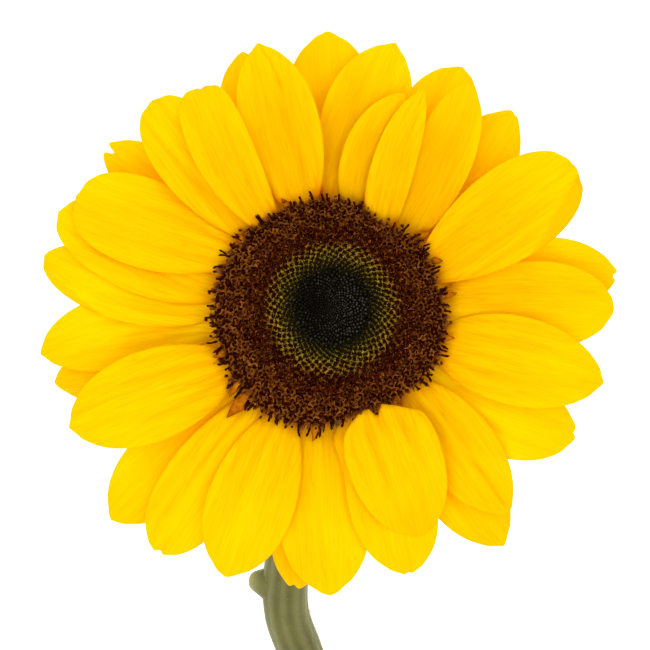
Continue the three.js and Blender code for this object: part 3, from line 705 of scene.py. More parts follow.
def petal_finish():
    """Lemon yellow, more orange towards the foot, partly as painted shade under the disc's rim. Fine noise
    drawn out from foot to tip makes its veins and a few darker lines. Painted shade up to 1 deepens it to
    orange, and beyond 1 to rust; painted light turns the back rows a paler yellow. Light passes through it
    and comes out a warmer yellow."""
    finish = Finish("ray_yellow", 0.8, 0.0)
    along, across, seed, shade, painted_shade = finish.stored("along", "across", "seed", "shade", "painted_shade")
    vector = finish.vector(across, finish.maths("MULTIPLY", along, 2.2), seed)
    veins = finish.noise(vector, 2.4, 5, 0.65)
    between_veins = finish.fade(veins, (0.3, 1), (0.62, 0))
    patches = finish.fade(finish.noise(vector, 0.5, 2), (0.35, 1), (0.65, 0))
    lines = finish.fade(finish.noise(vector, 0.9, 1.5), (0.46, 0), (0.5, 1), (0.54, 0))
    strength = finish.fade(along, (0.0, 0.95), (0.3, 0.5), (0.7, 0.22))
    # More orange towards the foot: partly the petal's own colour, partly painted shade where the foot runs
    # in under the disc's rim.
    yellow = finish.ramp(along, [(0.0, (0.93, 0.42, 0.0005)), (0.05, (0.94, 0.50, 0.0005)),
                                 (0.12, (0.97, 0.645, 0.0005)), (0.32, (0.98, 0.67, 0.0005)),
                                 (0.75, (0.99, 0.685, 0.0005)), (1.0, (0.99, 0.68, 0.0005))])
    # In turn: paler between the veins and in random patches; painted light towards a paler yellow by the
    # stored shade of the back rows; orange and then rust by the painted shade; darker vein lines.
    for kind, factor, tint in (("MULTIPLY", between_veins, (0.99, 0.90, 0.8)),
                               ("MULTIPLY", patches, (0.995, 0.94, 0.9)),
                               ("MIX", shade, (1.0, 0.78, 0.0005)),
                               ("MULTIPLY", painted_shade, (0.93, 0.84, 0.8)),
                               ("MULTIPLY", finish.maths("SUBTRACT", painted_shade, 1.0), (0.86, 0.5, 0.4)),
                               ("MULTIPLY", finish.maths("MULTIPLY", lines, strength), (0.97, 0.76, 0.7))):
        yellow = finish.mix(kind, factor, yellow, tint)
    normal = finish.bump(veins, 0.00022, 0.6)
    finish.colour(yellow)
    through = finish.node("ShaderNodeBsdfTranslucent", {"Color": yellow, "Normal": normal})
    blended = finish.node("ShaderNodeMixShader", {0: 0.38, 1: finish.shader.outputs[0],
                                                  2: through.outputs[0]})
    finish.links.new(blended.outputs[0], finish.output.inputs["Surface"])
    return finish.material


ray_yellow = petal_finish()
petal_grids = [petal_grid(index) for index in range(len(PETALS))]
for row_name in ("back", "middle", "front"):
    mesh_piece("petals_" + row_name, [grid for row, grid in petal_grids if row == row_name],
               ray_yellow, ["ray_florets"])


# ---- Open florets ---------------------------------------------------------------------------
# The outer band of the round disc: rust-brown florets already open, each a little five-lobed tube
# with dark styles, and chaffy scales between them. They grow from one floor, and their places are
# set by the golden angle, so that they stand in two crossing sets of spirals.

DISC_RIM = 32.0
RING_OUTER = 17.0                                 # from here outwards the florets are open
DISC_SHIFT = 1.8                                  # how far the heart lies off the middle
GOLDEN_TURN = -math.radians(137.50776405)         # clockwise from one floret to the next
HEART_PITCH = 0.58                                # distance between florets at the very middle
PITCH_GROWTH = 0.083                              # and its growth with radius, further out
# From a floret to its neighbours 34 and 55 along: change of number, change of bearing.
STEP_34 = np.array([34, 34 * GOLDEN_TURN + 13 * 2 * math.pi])
STEP_55 = np.array([55, 55 * GOLDEN_TURN + 21 * 2 * math.pi])


def disc_height(radius):
    """Height of the disc: a shallow bowl that rises to the open florets and falls at the rim."""
    return (4.2 + 1.6 * np.clip(radius / 17.7, 0, 1) ** 2 + 1.9 * blend_from(radius, 17.7, 21.7)
            - 2.2 * blend_from(radius, 24, 30.4) - 0.5 * np.maximum(radius - 30.4, 0))


def from_disc(points):
    """From the disc's own circles to the table's frame: the circles slide towards the heart by
    DISC_SHIFT at the middle and less and less, as the square of the radius, towards the rim."""
    square = (points[..., :2] ** 2).sum(-1) / DISC_RIM**2
    slide = DISC_SHIFT * np.clip(1 - square, 0, 1)
    return from_head(points + np.stack([0 * slide, slide, 0 * slide], -1))


def florets_within(radius):
    """How many florets lie within a radius: the disc's area, each part divided by its pitch
    squared, where the pitch is the root of the sum of the squares of its value at the middle and
    its growth. It comes to the logarithm of one plus the square of the ratio of those two."""
    return math.pi / PITCH_GROWTH**2 * np.log1p((PITCH_GROWTH * radius / HEART_PITCH) ** 2)


def radius_of(number):
    """The radius that holds a number of florets: the count turned round."""
    return HEART_PITCH / PITCH_GROWTH * np.sqrt(np.expm1(number * PITCH_GROWTH**2 / math.pi))


def floret_places(inner, outer):
    """Radius and bearing of each floret between two radii: each turns on from the last by the
    golden angle, and lies where its number is the count of florets within."""
    number = np.arange(math.ceil(florets_within(inner)), math.floor(florets_within(outer)) + 1)
    return radius_of(number), number * GOLDEN_TURN


def standing(radius, bearing, lean, turn):
    """For each floret its foot on the disc and three unit vectors (rows): outward, around and up
    its own axis. The axis leans outward by lean; turn spins the other two round it."""
    outward = round_axis(1, bearing, 0)
    around = round_axis(1, bearing + np.pi / 2, 0)
    up = np.zeros_like(outward) + (0, 0, 1)
    axis = up * np.cos(lean)[:, None] + outward * np.sin(lean)[:, None]
    flat = outward * np.cos(lean)[:, None] - up * np.sin(lean)[:, None]
    first = flat * np.cos(turn)[:, None] + around * np.sin(turn)[:, None]
    second = around * np.cos(turn)[:, None] - flat * np.sin(turn)[:, None]
    foot = outward * radius[:, None] + up * disc_height(radius)[:, None]
    return foot, np.stack([first, second, axis], axis=1)


def planted(shapes, foot, frames):
    """Copies of a shape, one for each foot: its x, y and z follow that floret's three vectors."""
    shapes = np.broadcast_to(shapes, (len(foot),) + shapes.shape[-3:])
    return foot[:, None, None] + np.einsum("nrci,nij->nrcj", shapes, frames)


def threads(foot, frames, length, sweep, curl, radius, sides, rows=7):
    """Curved tubes: each rises by length along its axis, and is swept outward by sweep times the
    square of the way up and sideways by curl times its cube. Radius is a list along the thread;
    both ends close to a point."""
    part = np.linspace(0, 1, rows)
    path = (frames[:, None, 2] * (length[:, None] * part)[..., None]
            + frames[:, None, 0] * (sweep[:, None] * part**2)[..., None]
            + frames[:, None, 1] * (curl[:, None] * part**3)[..., None]) + foot[:, None]
    along = unit(np.gradient(path, axis=1))
    side = unit(np.cross(along, frames[:, None, 1] + 0.01))
    other = np.cross(along, side)
    angle = full_turn(sides)
    ring = side[:, :, None] * np.cos(angle)[:, None] + other[:, :, None] * np.sin(angle)[:, None]
    thick = np.interp(part, np.linspace(0, 1, len(radius)), radius)
    thick[0] = thick[-1] = 0.002
    return path[:, :, None] + ring * thick[:, None, None]


def disc_finish(name, stops, roughness, specular, grain):
    """Colour by the depth stored in the mesh, from the dark gaps to the tips, and mottled between
    florets by their seed and by a fine grain."""
    finish = Finish(name, roughness, specular)
    depth, seed = finish.stored("depth", "seed")
    fine = finish.noise(finish.place(), grain, 3)
    level = finish.maths("ADD", depth, finish.spread(fine, 1.1))
    level = finish.maths("ADD", level, finish.spread(seed, 0.28))
    finish.bump(fine, 0.0001, 0.8)
    return finish.colour(finish.ramp(level, stops))


# The floor's underside and outer wall: radius and height.
GROUND = np.array([[0, -1.0], [25.7, -1.0], [25.7, 2.4], [29.2, 4.0]])


def ground_grid():
    """The floor that the florets grow from: the disc's own height, a little lower, turned round the
    head's axis, drawn in to the rim and closed below."""
    rings = 60
    top = np.column_stack([np.linspace(31.0, 0, rings), np.zeros(rings)])
    points = turned(np.vstack([GROUND, top]), 128)
    shrink = rim_at(np.arctan2(points[..., 1], points[..., 0])) / DISC_RIM
    points[..., :2] *= shrink[..., None]
    floor = points[len(GROUND):]
    radius = np.hypot(floor[..., 0], floor[..., 1])
    floor[..., 2] = disc_height(radius) - 1.0 - 0.25 * blend_from(radius, 16, 19)
    return from_disc(points), True, {"depth": 0.0, "seed": 0.5}


def corolla_grid(radius, bearing, draw):
    """Open florets. Each is a tube that flares to five pointed lobes: its radius swells with the
    distance up it and with a five-fold wave round it; inside, it falls back to a closed throat."""
    count = len(radius)
    angle = full_turn(10)
    lobe = 0.5 + 0.5 * np.cos(5 * angle)
    size = np.array([0.02, 0.40, 0.60, 0.95, 0.95, 0.42, 0.02])[:, None]
    flare = np.array([0, 0, 0.05, 0.52, 0.84, 0.02, 0])[:, None]
    height = np.array([-1.6, -1.5, -0.2, 0.40, 0.05, 0.1, -0.35])[:, None]
    level = np.array([0, 0.15, 0.4, 0.75, 0.9, 0.45, 0.0])[:, None]
    each_point = (count, len(size), len(angle))
    lobed = flare > 0.3
    open_by = blend_from(radius, 18.0, 21.5)[:, None, None] * 0.35 + 0.65
    reach = (size * (1 - 0.35 * lobed) + flare * lobe) * open_by
    ragged = draw.uniform(0.6, 1.35, (count, 1, len(angle))) * draw.uniform(0.85, 1.12, (count, 1, 1))
    reach = reach * (1 + (ragged - 1) * lobed)
    lift = height + draw.uniform(-0.5, 0.5, each_point) * lobed
    lean = draw.normal(0.1, 0.3, count) + 0.5 * blend_from(radius, 27.5, 31)
    foot, frames = standing(radius, bearing, lean, draw.uniform(0, 6.3, count))
    foot += np.stack([draw.uniform(-0.2, 0.2, count)] * 2 + [draw.uniform(-0.35, 0.3, count)], -1)
    # Darker towards the young buds of the ring; lighter towards the rim, partly as painted light where the
    # disc falls away.
    ripeness_and_painted_light = 0.9 * blend_from(radius, 21.5, 27) - 1.3 * (1 - blend_from(radius, 19, 24.5))
    seed = draw.uniform(-0.3, 1.3, (count, 1, 1)) + ripeness_and_painted_light[:, None, None]
    return (from_disc(planted(round_axis(reach, angle, lift), foot, frames)), True,
            {"depth": np.broadcast_to(level, each_point), "seed": seed})


def scale_grid(radius, bearing, draw, length, width, lean=0.15, ripeness_and_painted_light=0.0):
    """Chaffy scales that stand between the florets: thin leaves, diamond-shaped in section, that
    widen and then narrow to a point and bend outward as the square of the way up."""
    count = len(radius)
    part = np.array([0, 0.02, 0.35, 0.7, 1.0])[:, None]
    wide = np.array([0.0, 0.75, 1.0, 0.6, 0.0])[:, None] * width / 2
    shape = round_axis(wide, full_turn(4), length * part - 0.9) * (0.35, 1, 1)
    shape[..., 0] += 0.3 * part**2
    shape = shape * draw.uniform(0.75, 1.25, (count, 1, 1, 1))
    foot, frames = standing(radius, bearing, draw.normal(lean, 0.25, count), draw.normal(0, 0.6, count))
    depth = np.broadcast_to(part * 0.9, shape.shape[:3])
    # Lighter by the given amount; for the lobes at the rim partly as painted light, where they lean away.
    seed = ripeness_and_painted_light + draw.uniform(0, 1, (count, 1, 1))
    return from_disc(planted(shape, foot, frames)), True, {"depth": depth, "seed": seed}


def between(radius, bearing):
    """The gaps between florets: half a step along both spirals from each of them."""
    half_step = (STEP_34 + STEP_55) / 2
    return radius_of(florets_within(radius) + half_step[0]), bearing + half_step[1]


def style_grid(radius, bearing, draw, length, lean, sweep, thick):
    """Dark styles: threads that lean outward and end in a knob, some hooked."""
    count = len(radius)
    foot, frames = standing(radius, bearing, draw.normal(lean, 0.2, count), draw.normal(0, 0.5, count))
    points = threads(foot, frames, draw.uniform(*length, count), draw.uniform(*sweep, count),
                     draw.normal(0, 0.5, count), thick, 6)
    depth = np.broadcast_to(np.linspace(0.2, 0.5, points.shape[1])[:, None], points.shape[1:3])
    return from_disc(points), True, {"depth": depth, "seed": draw.uniform(0, 1, (count, 1, 1))}


# Rust-brown scales that stand out from under the rim: bearing, reach, width.
RIM_SCALES = [(225, 38.4, 4.2), (217, 34.4, 2.0), (262, 33.4, 2.4), (41, 33.6, 2.6), (10, 32.8, 2.2),
              (28, 31.8, 2.2), (111, 32.6, 2.2), (142, 32.8, 2.2), (200, 32.8, 2.2), (346, 32.4, 2.0)]


def rim_scale_grids(draw):
    """Small pointed leaves by the blade's own formula, arched across and rising to the tip."""
    grids = []
    u, w = np.linspace(0, 0.998, 14), np.linspace(1, -1, 7)
    for bearing, reach, width in RIM_SCALES:
        points, _, full, _, _ = blade(
            u, w, base_at=bearing, tip_at=bearing + draw.uniform(-3, 3), base_radius=28.6,
            reach=reach, width=width, bow=draw.uniform(-0.4, 0.4), belly=0.3, tip=1.0,
            base_height=4.4, level=6.6, tip_height=6.0 + draw.uniform(-0.6, 0.8), cup=-0.9)
        thickness = 0.22 * (1 - 0.6 * np.abs(w) ** 2) + 0 * full
        grids.append((shell_round(from_disc(points), thickness), True,
                      {"depth": both_faces(0.2 + 0.45 * full - 0.2 * np.abs(w), points.shape[:2]),
                       "seed": draw.uniform(0.6, 1.6)}))
    return grids


RUST_STOPS = [(0.0, (0.042, 0.003, 0.0008)), (0.3, (0.070, 0.010, 0.001)),
              (0.6, (0.148, 0.036, 0.0035)), (1.0, (0.285, 0.094, 0.012))]
OCHRE_STOPS = [(0.0, (0.10, 0.012, 0.0005)), (0.5, (0.32, 0.078, 0.0005)), (1.0, (0.50, 0.17, 0.0005))]
DARK_STOPS = [(0.0, (0.018, 0.0012, 0.0004)), (0.35, (0.027, 0.0025, 0.0008)),
              (1.0, (0.07, 0.010, 0.003))]
floret_brown = disc_finish("floret_brown", RUST_STOPS, 0.7, 0.02, 2900)
style_maroon = disc_finish("style_maroon", DARK_STOPS, 0.75, 0.02, 2600)
scale_ochre = disc_finish("scale_ochre", OCHRE_STOPS, 0.7, 0.02, 900)
mesh_piece("disc_ground", [ground_grid()], floret_brown, ["disc_florets"])

RIM_STYLES = 96
RIM_LOBES = 130
NARROW_RIM = 27.6                                 # where the rim is no wider, no styles stand on it
OVERHANG_AT, OVERHANG_HALF = 311, 12              # bearings in degrees under the swollen petal
draw = np.random.default_rng(21)
open_radius, open_bearing = floret_places(RING_OUTER - 0.1, DISC_RIM)
opened = draw.uniform(0, 1, len(open_radius)) < 0.15 + blend_from(open_radius, RING_OUTER - 0.5, 18.6)
opened &= open_radius < rim_at(open_bearing)
open_radius, open_bearing = open_radius[opened], open_bearing[opened]
rim_bearing = 2 * np.pi * (np.arange(RIM_STYLES) + draw.uniform(-0.9, 0.9, RIM_STYLES)) / RIM_STYLES
under_petal = np.abs(np.degrees(np.mod(rim_bearing, 2 * np.pi)) - OVERHANG_AT) < OVERHANG_HALF
rim_bearing = rim_bearing[(rim_at(rim_bearing) > NARROW_RIM) & ~under_petal]
rim_radius = rim_at(rim_bearing) - draw.uniform(0.3, 1.5, len(rim_bearing))
lobe_bearing = draw.uniform(0, 2 * np.pi, RIM_LOBES)

mesh_piece("open_florets", [
    corolla_grid(open_radius, open_bearing, draw),
    scale_grid(*between(open_radius, open_bearing), draw, 2.3, 0.9),
    scale_grid(open_radius, open_bearing + 0.03, draw, 2.0, 0.8),
    scale_grid(rim_at(lobe_bearing) - 0.8, lobe_bearing, draw, 2.6, 1.3, 0.9, 0.4)],
    floret_brown, ["disc_florets"], smooth=False)
mesh_piece("rim_scales", rim_scale_grids(draw), scale_ochre, ["disc_florets"])
mesh_piece("styles", [
    style_grid(open_radius, open_bearing, draw, (0.7, 1.3), 0.1, (-0.2, 0.3), [0.2, 0.2, 0.28, 0.24]),
    style_grid(open_radius[::3] + 0.4, open_bearing[::3] + 0.02, draw, (1.6, 2.6), 0.8, (0.2, 1.0),
               [0.26, 0.26, 0.22, 0.3]),
    style_grid(rim_radius, rim_bearing, draw, (1.5, 3.7), 0.9, (-0.2, 1.1),
               [0.46, 0.38, 0.28, 0.30, 0.48])],
    style_maroon, ["disc_florets"])


# ---- Bud ring -------------------------------------------------------------------------------
# The olive-yellow ring of florets about to open. The tips of their scales stand up between the
# closed buds as a net of ribs along the two sets of spirals, with pale points where ribs cross.

NET_OUTER = 20.2
RING_INNER = 7.4
NET_TURNS_AT = math.radians(30)                   # towards here the steeper set of spirals stands out


def pitch_at(radius):
    """Distance between florets: the root of the sum of the squares of its value at the middle and
    its growth."""
    return np.sqrt(HEART_PITCH**2 + (PITCH_GROWTH * radius) ** 2)


def spiral_coordinates(radius, bearing):
    """Where a point lies in the net of florets: whole numbers of both are a floret's middle."""
    number = florets_within(radius)
    inverse = np.linalg.inv(np.column_stack([STEP_34, STEP_55]))
    return (inverse[0, 0] * number + inverse[0, 1] * bearing,
            inverse[1, 0] * number + inverse[1, 1] * bearing)


def jolts_on_grid(draw, rows, columns):
    """Four soft random fields of spread one: each value is three times over replaced by its sum
    with its four neighbours."""
    field = draw.normal(0, 1, (4, rows, columns))
    for _ in range(3):
        field = (field + np.roll(field, 1, 2) + np.roll(field, -1, 2)
                 + np.roll(field, 1, 1) + np.roll(field, -1, 1))
    return field / field.std()


def bud_net_grid():
    """The olive ring as a net of ribs. In the net's own coordinates a rib runs half-way between two
    rows of buds, as a bell curve across it; each mesh holds the dome of a closed dark bud. The
    coordinates are shifted by slow sines and by soft jolts, so no two meshes are alike, and the
    height of a crossing follows a number made from its place. Two flat discs close it below."""
    columns, rows = 740, 118
    radius = np.geomspace(NET_OUTER, RING_INNER, rows)[:, None]
    jolts = jolts_on_grid(np.random.default_rng(5), rows, columns)
    bearing = full_turn(columns) - 0.3 * np.log(radius)
    radius = radius + 0 * bearing
    a, b = spiral_coordinates(radius, bearing)
    a = a + 0.10 * np.sin(3 * bearing + 0.9 * radius) + 0.08 * np.sin(17 * bearing - 1.3 * radius)
    b = b + 0.10 * np.sin(4 * bearing - 0.7 * radius) + 0.08 * np.sin(13 * bearing + 1.7 * radius)
    a, b = a + 0.105 * jolts[0], b + 0.105 * jolts[1]
    from_a, from_b = np.abs(a - np.round(a)), np.abs(b - np.round(b))
    rib_width = 0.118 + 0.035 * blend_from(radius, 12, 16)
    outer = blend_from(radius, 11, 13.5)
    side = blend_from(np.cos(bearing - NET_TURNS_AT), -0.5, 0.5)
    rib_34 = np.exp(-((0.5 - from_b) / rib_width) ** 2) * (1 - 0.8 * (1 - outer) * side)
    rib_55 = np.exp(-((0.5 - from_a) / rib_width) ** 2) * (1 - 0.8 * (1 - outer) * (1 - side))
    rib_34 = np.maximum(rib_34, 0.8 * outer * blend_from(np.hypot(from_a, from_b), 0.36, 0.56))
    rib = np.maximum(rib_34, rib_55)
    crossing = rib_34 * rib_55
    knot = np.sin(39.346 * np.floor(a) + 11.135 * np.floor(b)) * 43758.5453
    knot = knot - np.floor(knot)
    bud = np.clip(1 - (from_a**2 + from_b**2) / 0.10, 0, 1)
    pitch = pitch_at(radius)
    height = disc_height(radius) + pitch * (0.5 * rib + 0.5 * crossing * (0.2 + knot) + 0.2 * bud - 0.55
                                            + 0.1 * jolts[2])
    height -= 0.3 * blend_from(radius, RING_OUTER, NET_OUTER)
    height -= 0.9 * blend_from(radius, NET_OUTER - 0.5, NET_OUTER)
    height -= 0.8 * pitch * blend_from(-radius, -9.6, -RING_INNER)
    points = round_axis(radius, bearing, height)
    outer_foot, inner_foot = points[0] * (1, 1, 0) + (0, 0, 2.8), points[-1] * (1, 1, 0) + (0, 0, 3.0)
    points = np.concatenate([[outer_foot * (0, 0, 1), outer_foot], points,
                             [inner_foot, inner_foot * (0, 0, 1)]])
    feet = [(2, 2), (0, 0)]
    return (from_disc(points), True,
            {"depth": np.pad(rib * (0.82 + 0.22 * jolts[3]) + (0.5 * knot - 0.1) * crossing, feet),
             "ring": np.pad((radius - 8) / 12 + 0.04 * jolts[2], feet, "edge"),
             "tip": np.pad(crossing * (1.5 * knot - 0.2), feet)})


def net_tip_grid(draw):
    """Pale points where ribs cross, each a tiny four-sided spike that leans its own way."""
    radius, bearing = between(*floret_places(9.5, 17.2))
    count = len(radius)
    part = np.array([0, 0.3, 0.7, 1.0])[:, None]
    wide = np.array([0.002, 1.0, 0.6, 0.002])[:, None] * 0.15 * pitch_at(radius)[:, None, None]
    rise = (0.75 * part - 0.25) * (pitch_at(radius) * draw.uniform(0.4, 1.1, count))[:, None, None]
    shape = round_axis(wide, full_turn(4), rise)
    foot, frames = standing(radius, bearing, draw.normal(0.2, 0.4, count), draw.uniform(0, 6.3, count))
    ring = np.broadcast_to(((radius - 8) / 12)[:, None, None], shape.shape[:3])
    return (from_disc(planted(shape, foot, frames)), True,
            {"depth": 1.1, "ring": ring, "tip": draw.uniform(-0.3, 1.3, (count, 1, 1))})


def bud_net_finish():
    """Ribs from deep olive near the heart to golden olive outside, paler where they cross; the
    closed buds in the meshes are black-maroon."""
    finish = Finish("bud_olive", 0.7, 0.01)
    depth, ring, tip = finish.stored("depth", "ring", "tip")
    fine = finish.noise(finish.place(), 2400, 3)
    ribs = finish.ramp(ring, [(0.0, (0.010, 0.009, 0.003)), (0.18, (0.042, 0.038, 0.005)),
                              (0.36, (0.15, 0.122, 0.007)), (0.52, (0.265, 0.176, 0.008)),
                              (0.68, (0.275, 0.155, 0.008)), (0.78, (0.175, 0.068, 0.003)),
                              (0.9, (0.115, 0.028, 0.002)), (1.0, (0.10, 0.020, 0.001))])
    pale = finish.ramp(ring, [(0.15, (0.04, 0.038, 0.02)), (0.5, (0.40, 0.29, 0.045)),
                              (0.75, (0.38, 0.21, 0.035)), (0.9, (0.16, 0.05, 0.01))])
    gaps = finish.ramp(ring, [(0.1, (0.0065, 0.006, 0.002)), (0.45, (0.018, 0.007, 0.002)),
                              (0.65, (0.024, 0.002, 0.0005)), (1.0, (0.030, 0.002, 0.0005))])
    ribs = finish.mix("MIX", finish.maths("MULTIPLY", tip, 0.6), ribs, pale)
    raised = finish.fade(finish.maths("ADD", depth, finish.spread(fine, 2.3)), (0.35, 0), (0.95, 1))
    finish.bump(fine, 0.00008, 0.7)
    return finish.colour(finish.mix("MIX", raised, gaps, ribs))


mesh_piece("bud_net", [bud_net_grid(), net_tip_grid(draw)], bud_net_finish(), ["bud_ring"])


# ---- Bud heart ------------------------------------------------------------------------------
# The dark middle of the disc: the youngest florets, tight blackish buds that lean inwards and
# stand on a floor of their own inside the ring.

HEART_OUTER = 11.5
# Painted light and shade on the heart's buds, a paler patch to the right and a darker one to the left: right
# and away of its middle, by how much, spread squared.
HEART_PAINTED_LIGHT_AND_SHADE = [(5.4, 0.6, 0.3, 30), (-4.6, 0.6, -0.45, 20)]


def heart_grid(draw):
    """The heart: tiny closed buds, each a pointed dome that leans to the middle and overlaps the next. Size
    follows the net's pitch, and brightness adds a bell curve for each patch of painted light and of painted
    shade."""
    radius, bearing = floret_places(0.3, HEART_OUTER)
    kept = draw.uniform(0, 1, len(radius)) > blend_from(radius, 8.5, HEART_OUTER)
    radius, bearing = radius[kept], bearing[kept]
    count = len(radius)
    wide = np.array([0.002, 0.42, 0.48, 0.40, 0.22, 0.002])[:, None]
    rise = np.array([-0.6, -0.55, 0.05, 0.42, 0.68, 0.74])[:, None]
    level = np.array([0, 0, 0.2, 0.5, 0.9, 1.0])[:, None]
    pitch = pitch_at(radius)[:, None, None]
    shape = round_axis(wide * pitch, full_turn(6), rise * pitch * draw.uniform(0.7, 1.3, (count, 1, 1)))
    foot, frames = standing(radius, bearing, draw.normal(-0.25, 0.4, count), draw.uniform(0, 1, count))
    foot[:, 2] -= 0.1 * pitch_at(radius)
    foot[:, :2] += draw.normal(0, 0.08, (count, 2)) * pitch_at(radius)[:, None]
    right, away = radius * np.cos(bearing), radius * np.sin(bearing)
    lit = sum(amount * np.exp(-((right - x) ** 2 + (away - y) ** 2) / spread)
              for x, y, amount, spread in HEART_PAINTED_LIGHT_AND_SHADE)
    bright = draw.uniform(0.45, 1.0, (count, 1, 1)) + lit[:, None, None]
    return (from_disc(planted(shape, foot, frames)), True,
            {"depth": np.broadcast_to(level * bright, shape.shape[:3]),
             "seed": draw.uniform(0, 1, (count, 1, 1))})


def heart_floor_grid():
    """The dark floor under the heart's buds, closed below."""
    radius = np.linspace(HEART_OUTER + 0.4, 0, 24)
    top = np.column_stack([radius, disc_height(radius) - 0.25 - 0.9 * blend_from(radius, 8, 11)])
    points = turned(np.vstack([[0, 2.4], [HEART_OUTER + 0.4, 2.4], top]), 64)
    return from_disc(points), True, {"depth": 0.0, "seed": 0.5}


HEART_STOPS = [(0.0, (0.0014, 0.0010, 0.0003)), (0.4, (0.0060, 0.0045, 0.0018)),
               (0.75, (0.018, 0.015, 0.009)), (1.0, (0.044, 0.040, 0.028))]
bud_dark = disc_finish("bud_dark", HEART_STOPS, 0.5, 0.04, 2600)
mesh_piece("heart_buds", [heart_grid(draw), heart_floor_grid()], bud_dark, ["bud_heart"])


# ---- Hairs ----------------------------------------------------------------------------------
# Stiff pale bristles on the stem and on the backs of the bracts, as on every sunflower.

STEM_HAIRS = 3200
HEAD_BACK = np.array([0, -math.sin(HEAD_TILT), -math.cos(HEAD_TILT)])
BRACT_HAIRS = 50                                  # on the back of each bract


def bract_hair_grids():
    """Short threads on the backs of the bracts, each square to its bract and bent to its tip."""
    draw = np.random.default_rng(8)
    grids = []
    for shell, _, _ in bract_grids():
        back = shell[2:-2, BRACT_COLUMNS + 1:-1]
        row = draw.integers(1, back.shape[0] - 1, BRACT_HAIRS)
        column = draw.integers(1, back.shape[1] - 1, BRACT_HAIRS)
        foot = back[row, column]
        along = back[row + 1, column] - back[row - 1, column]
        across = back[row, column + 1] - back[row, column - 1]
        out = np.cross(along, across)
        frames = unit(np.stack([along, across, out * np.sign(out @ HEAD_BACK)[:, None]], axis=1))
        length, sweep = draw.uniform(0.4, 1.1, BRACT_HAIRS), draw.uniform(0, 0.5, BRACT_HAIRS)
        points = threads(foot, frames, length, sweep, draw.normal(0, 0.1, BRACT_HAIRS),
                         [0.045, 0.04, 0.025, 0.01], sides=3, rows=4)
        grids.append((points, True, {}))
    return grids


def stem_hair_grid():
    """Short tapered threads all round the stem, bent towards the cut end. Those by the table are
    pressed flat on it."""
    draw = np.random.default_rng(5)
    stations, first, last = 600, 14, 596
    path = stem_route(stations)
    along, across, up = directions(path)
    row = draw.integers(first, last, STEM_HAIRS)
    angle = draw.uniform(0, 2 * np.pi, STEM_HAIRS)
    radius = (NECK_RADIUS + (CUT_RADIUS - NECK_RADIUS) * row / stations) * 0.985
    out = across[row] * np.cos(angle)[:, None] + up[row] * np.sin(angle)[:, None]
    foot = path[row] + out * radius[:, None]
    frames = np.stack([along[row], np.cross(out, along[row]), out], axis=1)
    length = draw.uniform(0.5, 1.3, STEM_HAIRS)
    length = np.where(foot[:, 2] < 1.6, 0.25, length)
    points = threads(foot, frames, length, draw.uniform(0, 0.5, STEM_HAIRS),
                     draw.normal(0, 0.12, STEM_HAIRS), [0.05, 0.045, 0.03, 0.01], sides=3, rows=4)
    points[..., 2] = np.maximum(points[..., 2], 0.05)
    return points, True, {}


def hair_finish():
    """Pale straw bristle."""
    finish = Finish("bristle", 0.5, 0.3)
    shade = finish.noise(finish.place(), 500, 2)
    return finish.colour(finish.ramp(shade, [(0.3, (0.22, 0.22, 0.09)), (0.7, (0.36, 0.35, 0.18))]))


bristle = hair_finish()
mesh_piece("stem_hairs", [stem_hair_grid()], bristle, ["stem"])
mesh_piece("bract_hairs", bract_hair_grids(), bristle, ["involucre"])


# ---- Table, light and camera ----------------------------------------------------------------
# A plain white table top under broad soft light, and a camera square to the flower's face.

def plain_finish():
    """Matt white, with the faintest mottle, lit a little from within as a light table is."""
    finish = Finish("table_white", 0.9, 0.0)
    finish.shader.inputs["Emission Color"].default_value = (1, 1, 1, 1)
    finish.shader.inputs["Emission Strength"].default_value = 0.6
    shade = finish.noise(finish.place(), 3, 2)
    return finish.colour(finish.ramp(shade, [(0.0, (0.93, 0.93, 0.93)), (1.0, (0.95, 0.95, 0.95))]))


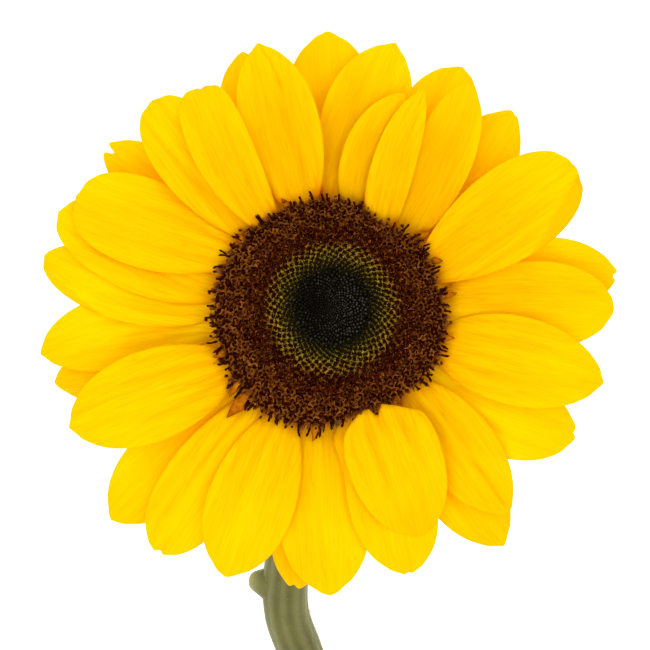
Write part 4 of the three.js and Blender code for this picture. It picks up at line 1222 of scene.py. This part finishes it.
table_mesh = bpy.data.meshes.new("table_top")
table_mesh.from_pydata([(-8, -8, 0), (8, -8, 0), (8, 8, 0), (-8, 8, 0)], [], [(0, 1, 2, 3)])
table_mesh.materials.append(plain_finish())
table_top = bpy.data.objects.new("table_top", table_mesh)
bpy.context.scene.collection.objects.link(table_top)


def aimed(location, target, up):
    """The turn that makes an object at location look at target: its three axes are the way back
    from the target, the cross product of up with that, and the cross product of those two."""
    back = (Vector(location) - Vector(target)).normalized()
    right = Vector(up).cross(back).normalized()
    return Matrix((right, back.cross(right), back)).transposed().to_euler()


def soft_light(name, offset, size, power):
    """A square soft light at an offset in metres from the flower's head, facing it."""
    data = bpy.data.lights.new(name, "AREA")
    data.size, data.energy = size, power
    light = bpy.data.objects.new(name, data)
    head = HEAD_CENTRE * MM
    light.location = head + np.array(offset)
    light.rotation_euler = aimed(light.location, head, (0, 1, 0.01))
    bpy.context.scene.collection.objects.link(light)


soft_light("key_light", (-0.75, -0.35, 1.5), 0.9, 11)
soft_light("fill_light", (1.2, 0.8, 1.3), 1.4, 6)

world = bpy.data.worlds.new("studio")
world.use_nodes = True
world.node_tree.nodes["Background"].inputs["Color"].default_value = (1, 1, 1, 1)
world.node_tree.nodes["Background"].inputs["Strength"].default_value = 1.2
bpy.context.scene.world = world
bpy.context.scene.view_settings.view_transform = "Standard"

CAMERA_DISTANCE = 0.9                             # in metres
VIEW_WIDTH = 0.169                                # in metres at the head, across the square view
SENSOR_WIDTH = 36
AIM_OFFSET = np.array([-1.82, -2.86, 0])          # from the head's centre, in the head's frame

camera_data = bpy.data.cameras.new("camera")
camera_data.sensor_width = SENSOR_WIDTH
camera_data.lens = SENSOR_WIDTH * CAMERA_DISTANCE / VIEW_WIDTH
camera = bpy.data.objects.new("camera", camera_data)
aim = from_head(AIM_OFFSET) * MM
eye = aim + CAMERA_DISTANCE * np.array([0, math.sin(HEAD_TILT), math.cos(HEAD_TILT)])
camera.location = eye
camera.rotation_euler = aimed(eye, aim, (0, math.cos(HEAD_TILT), -math.sin(HEAD_TILT)))
bpy.context.scene.collection.objects.link(camera)
bpy.context.scene.camera = camera
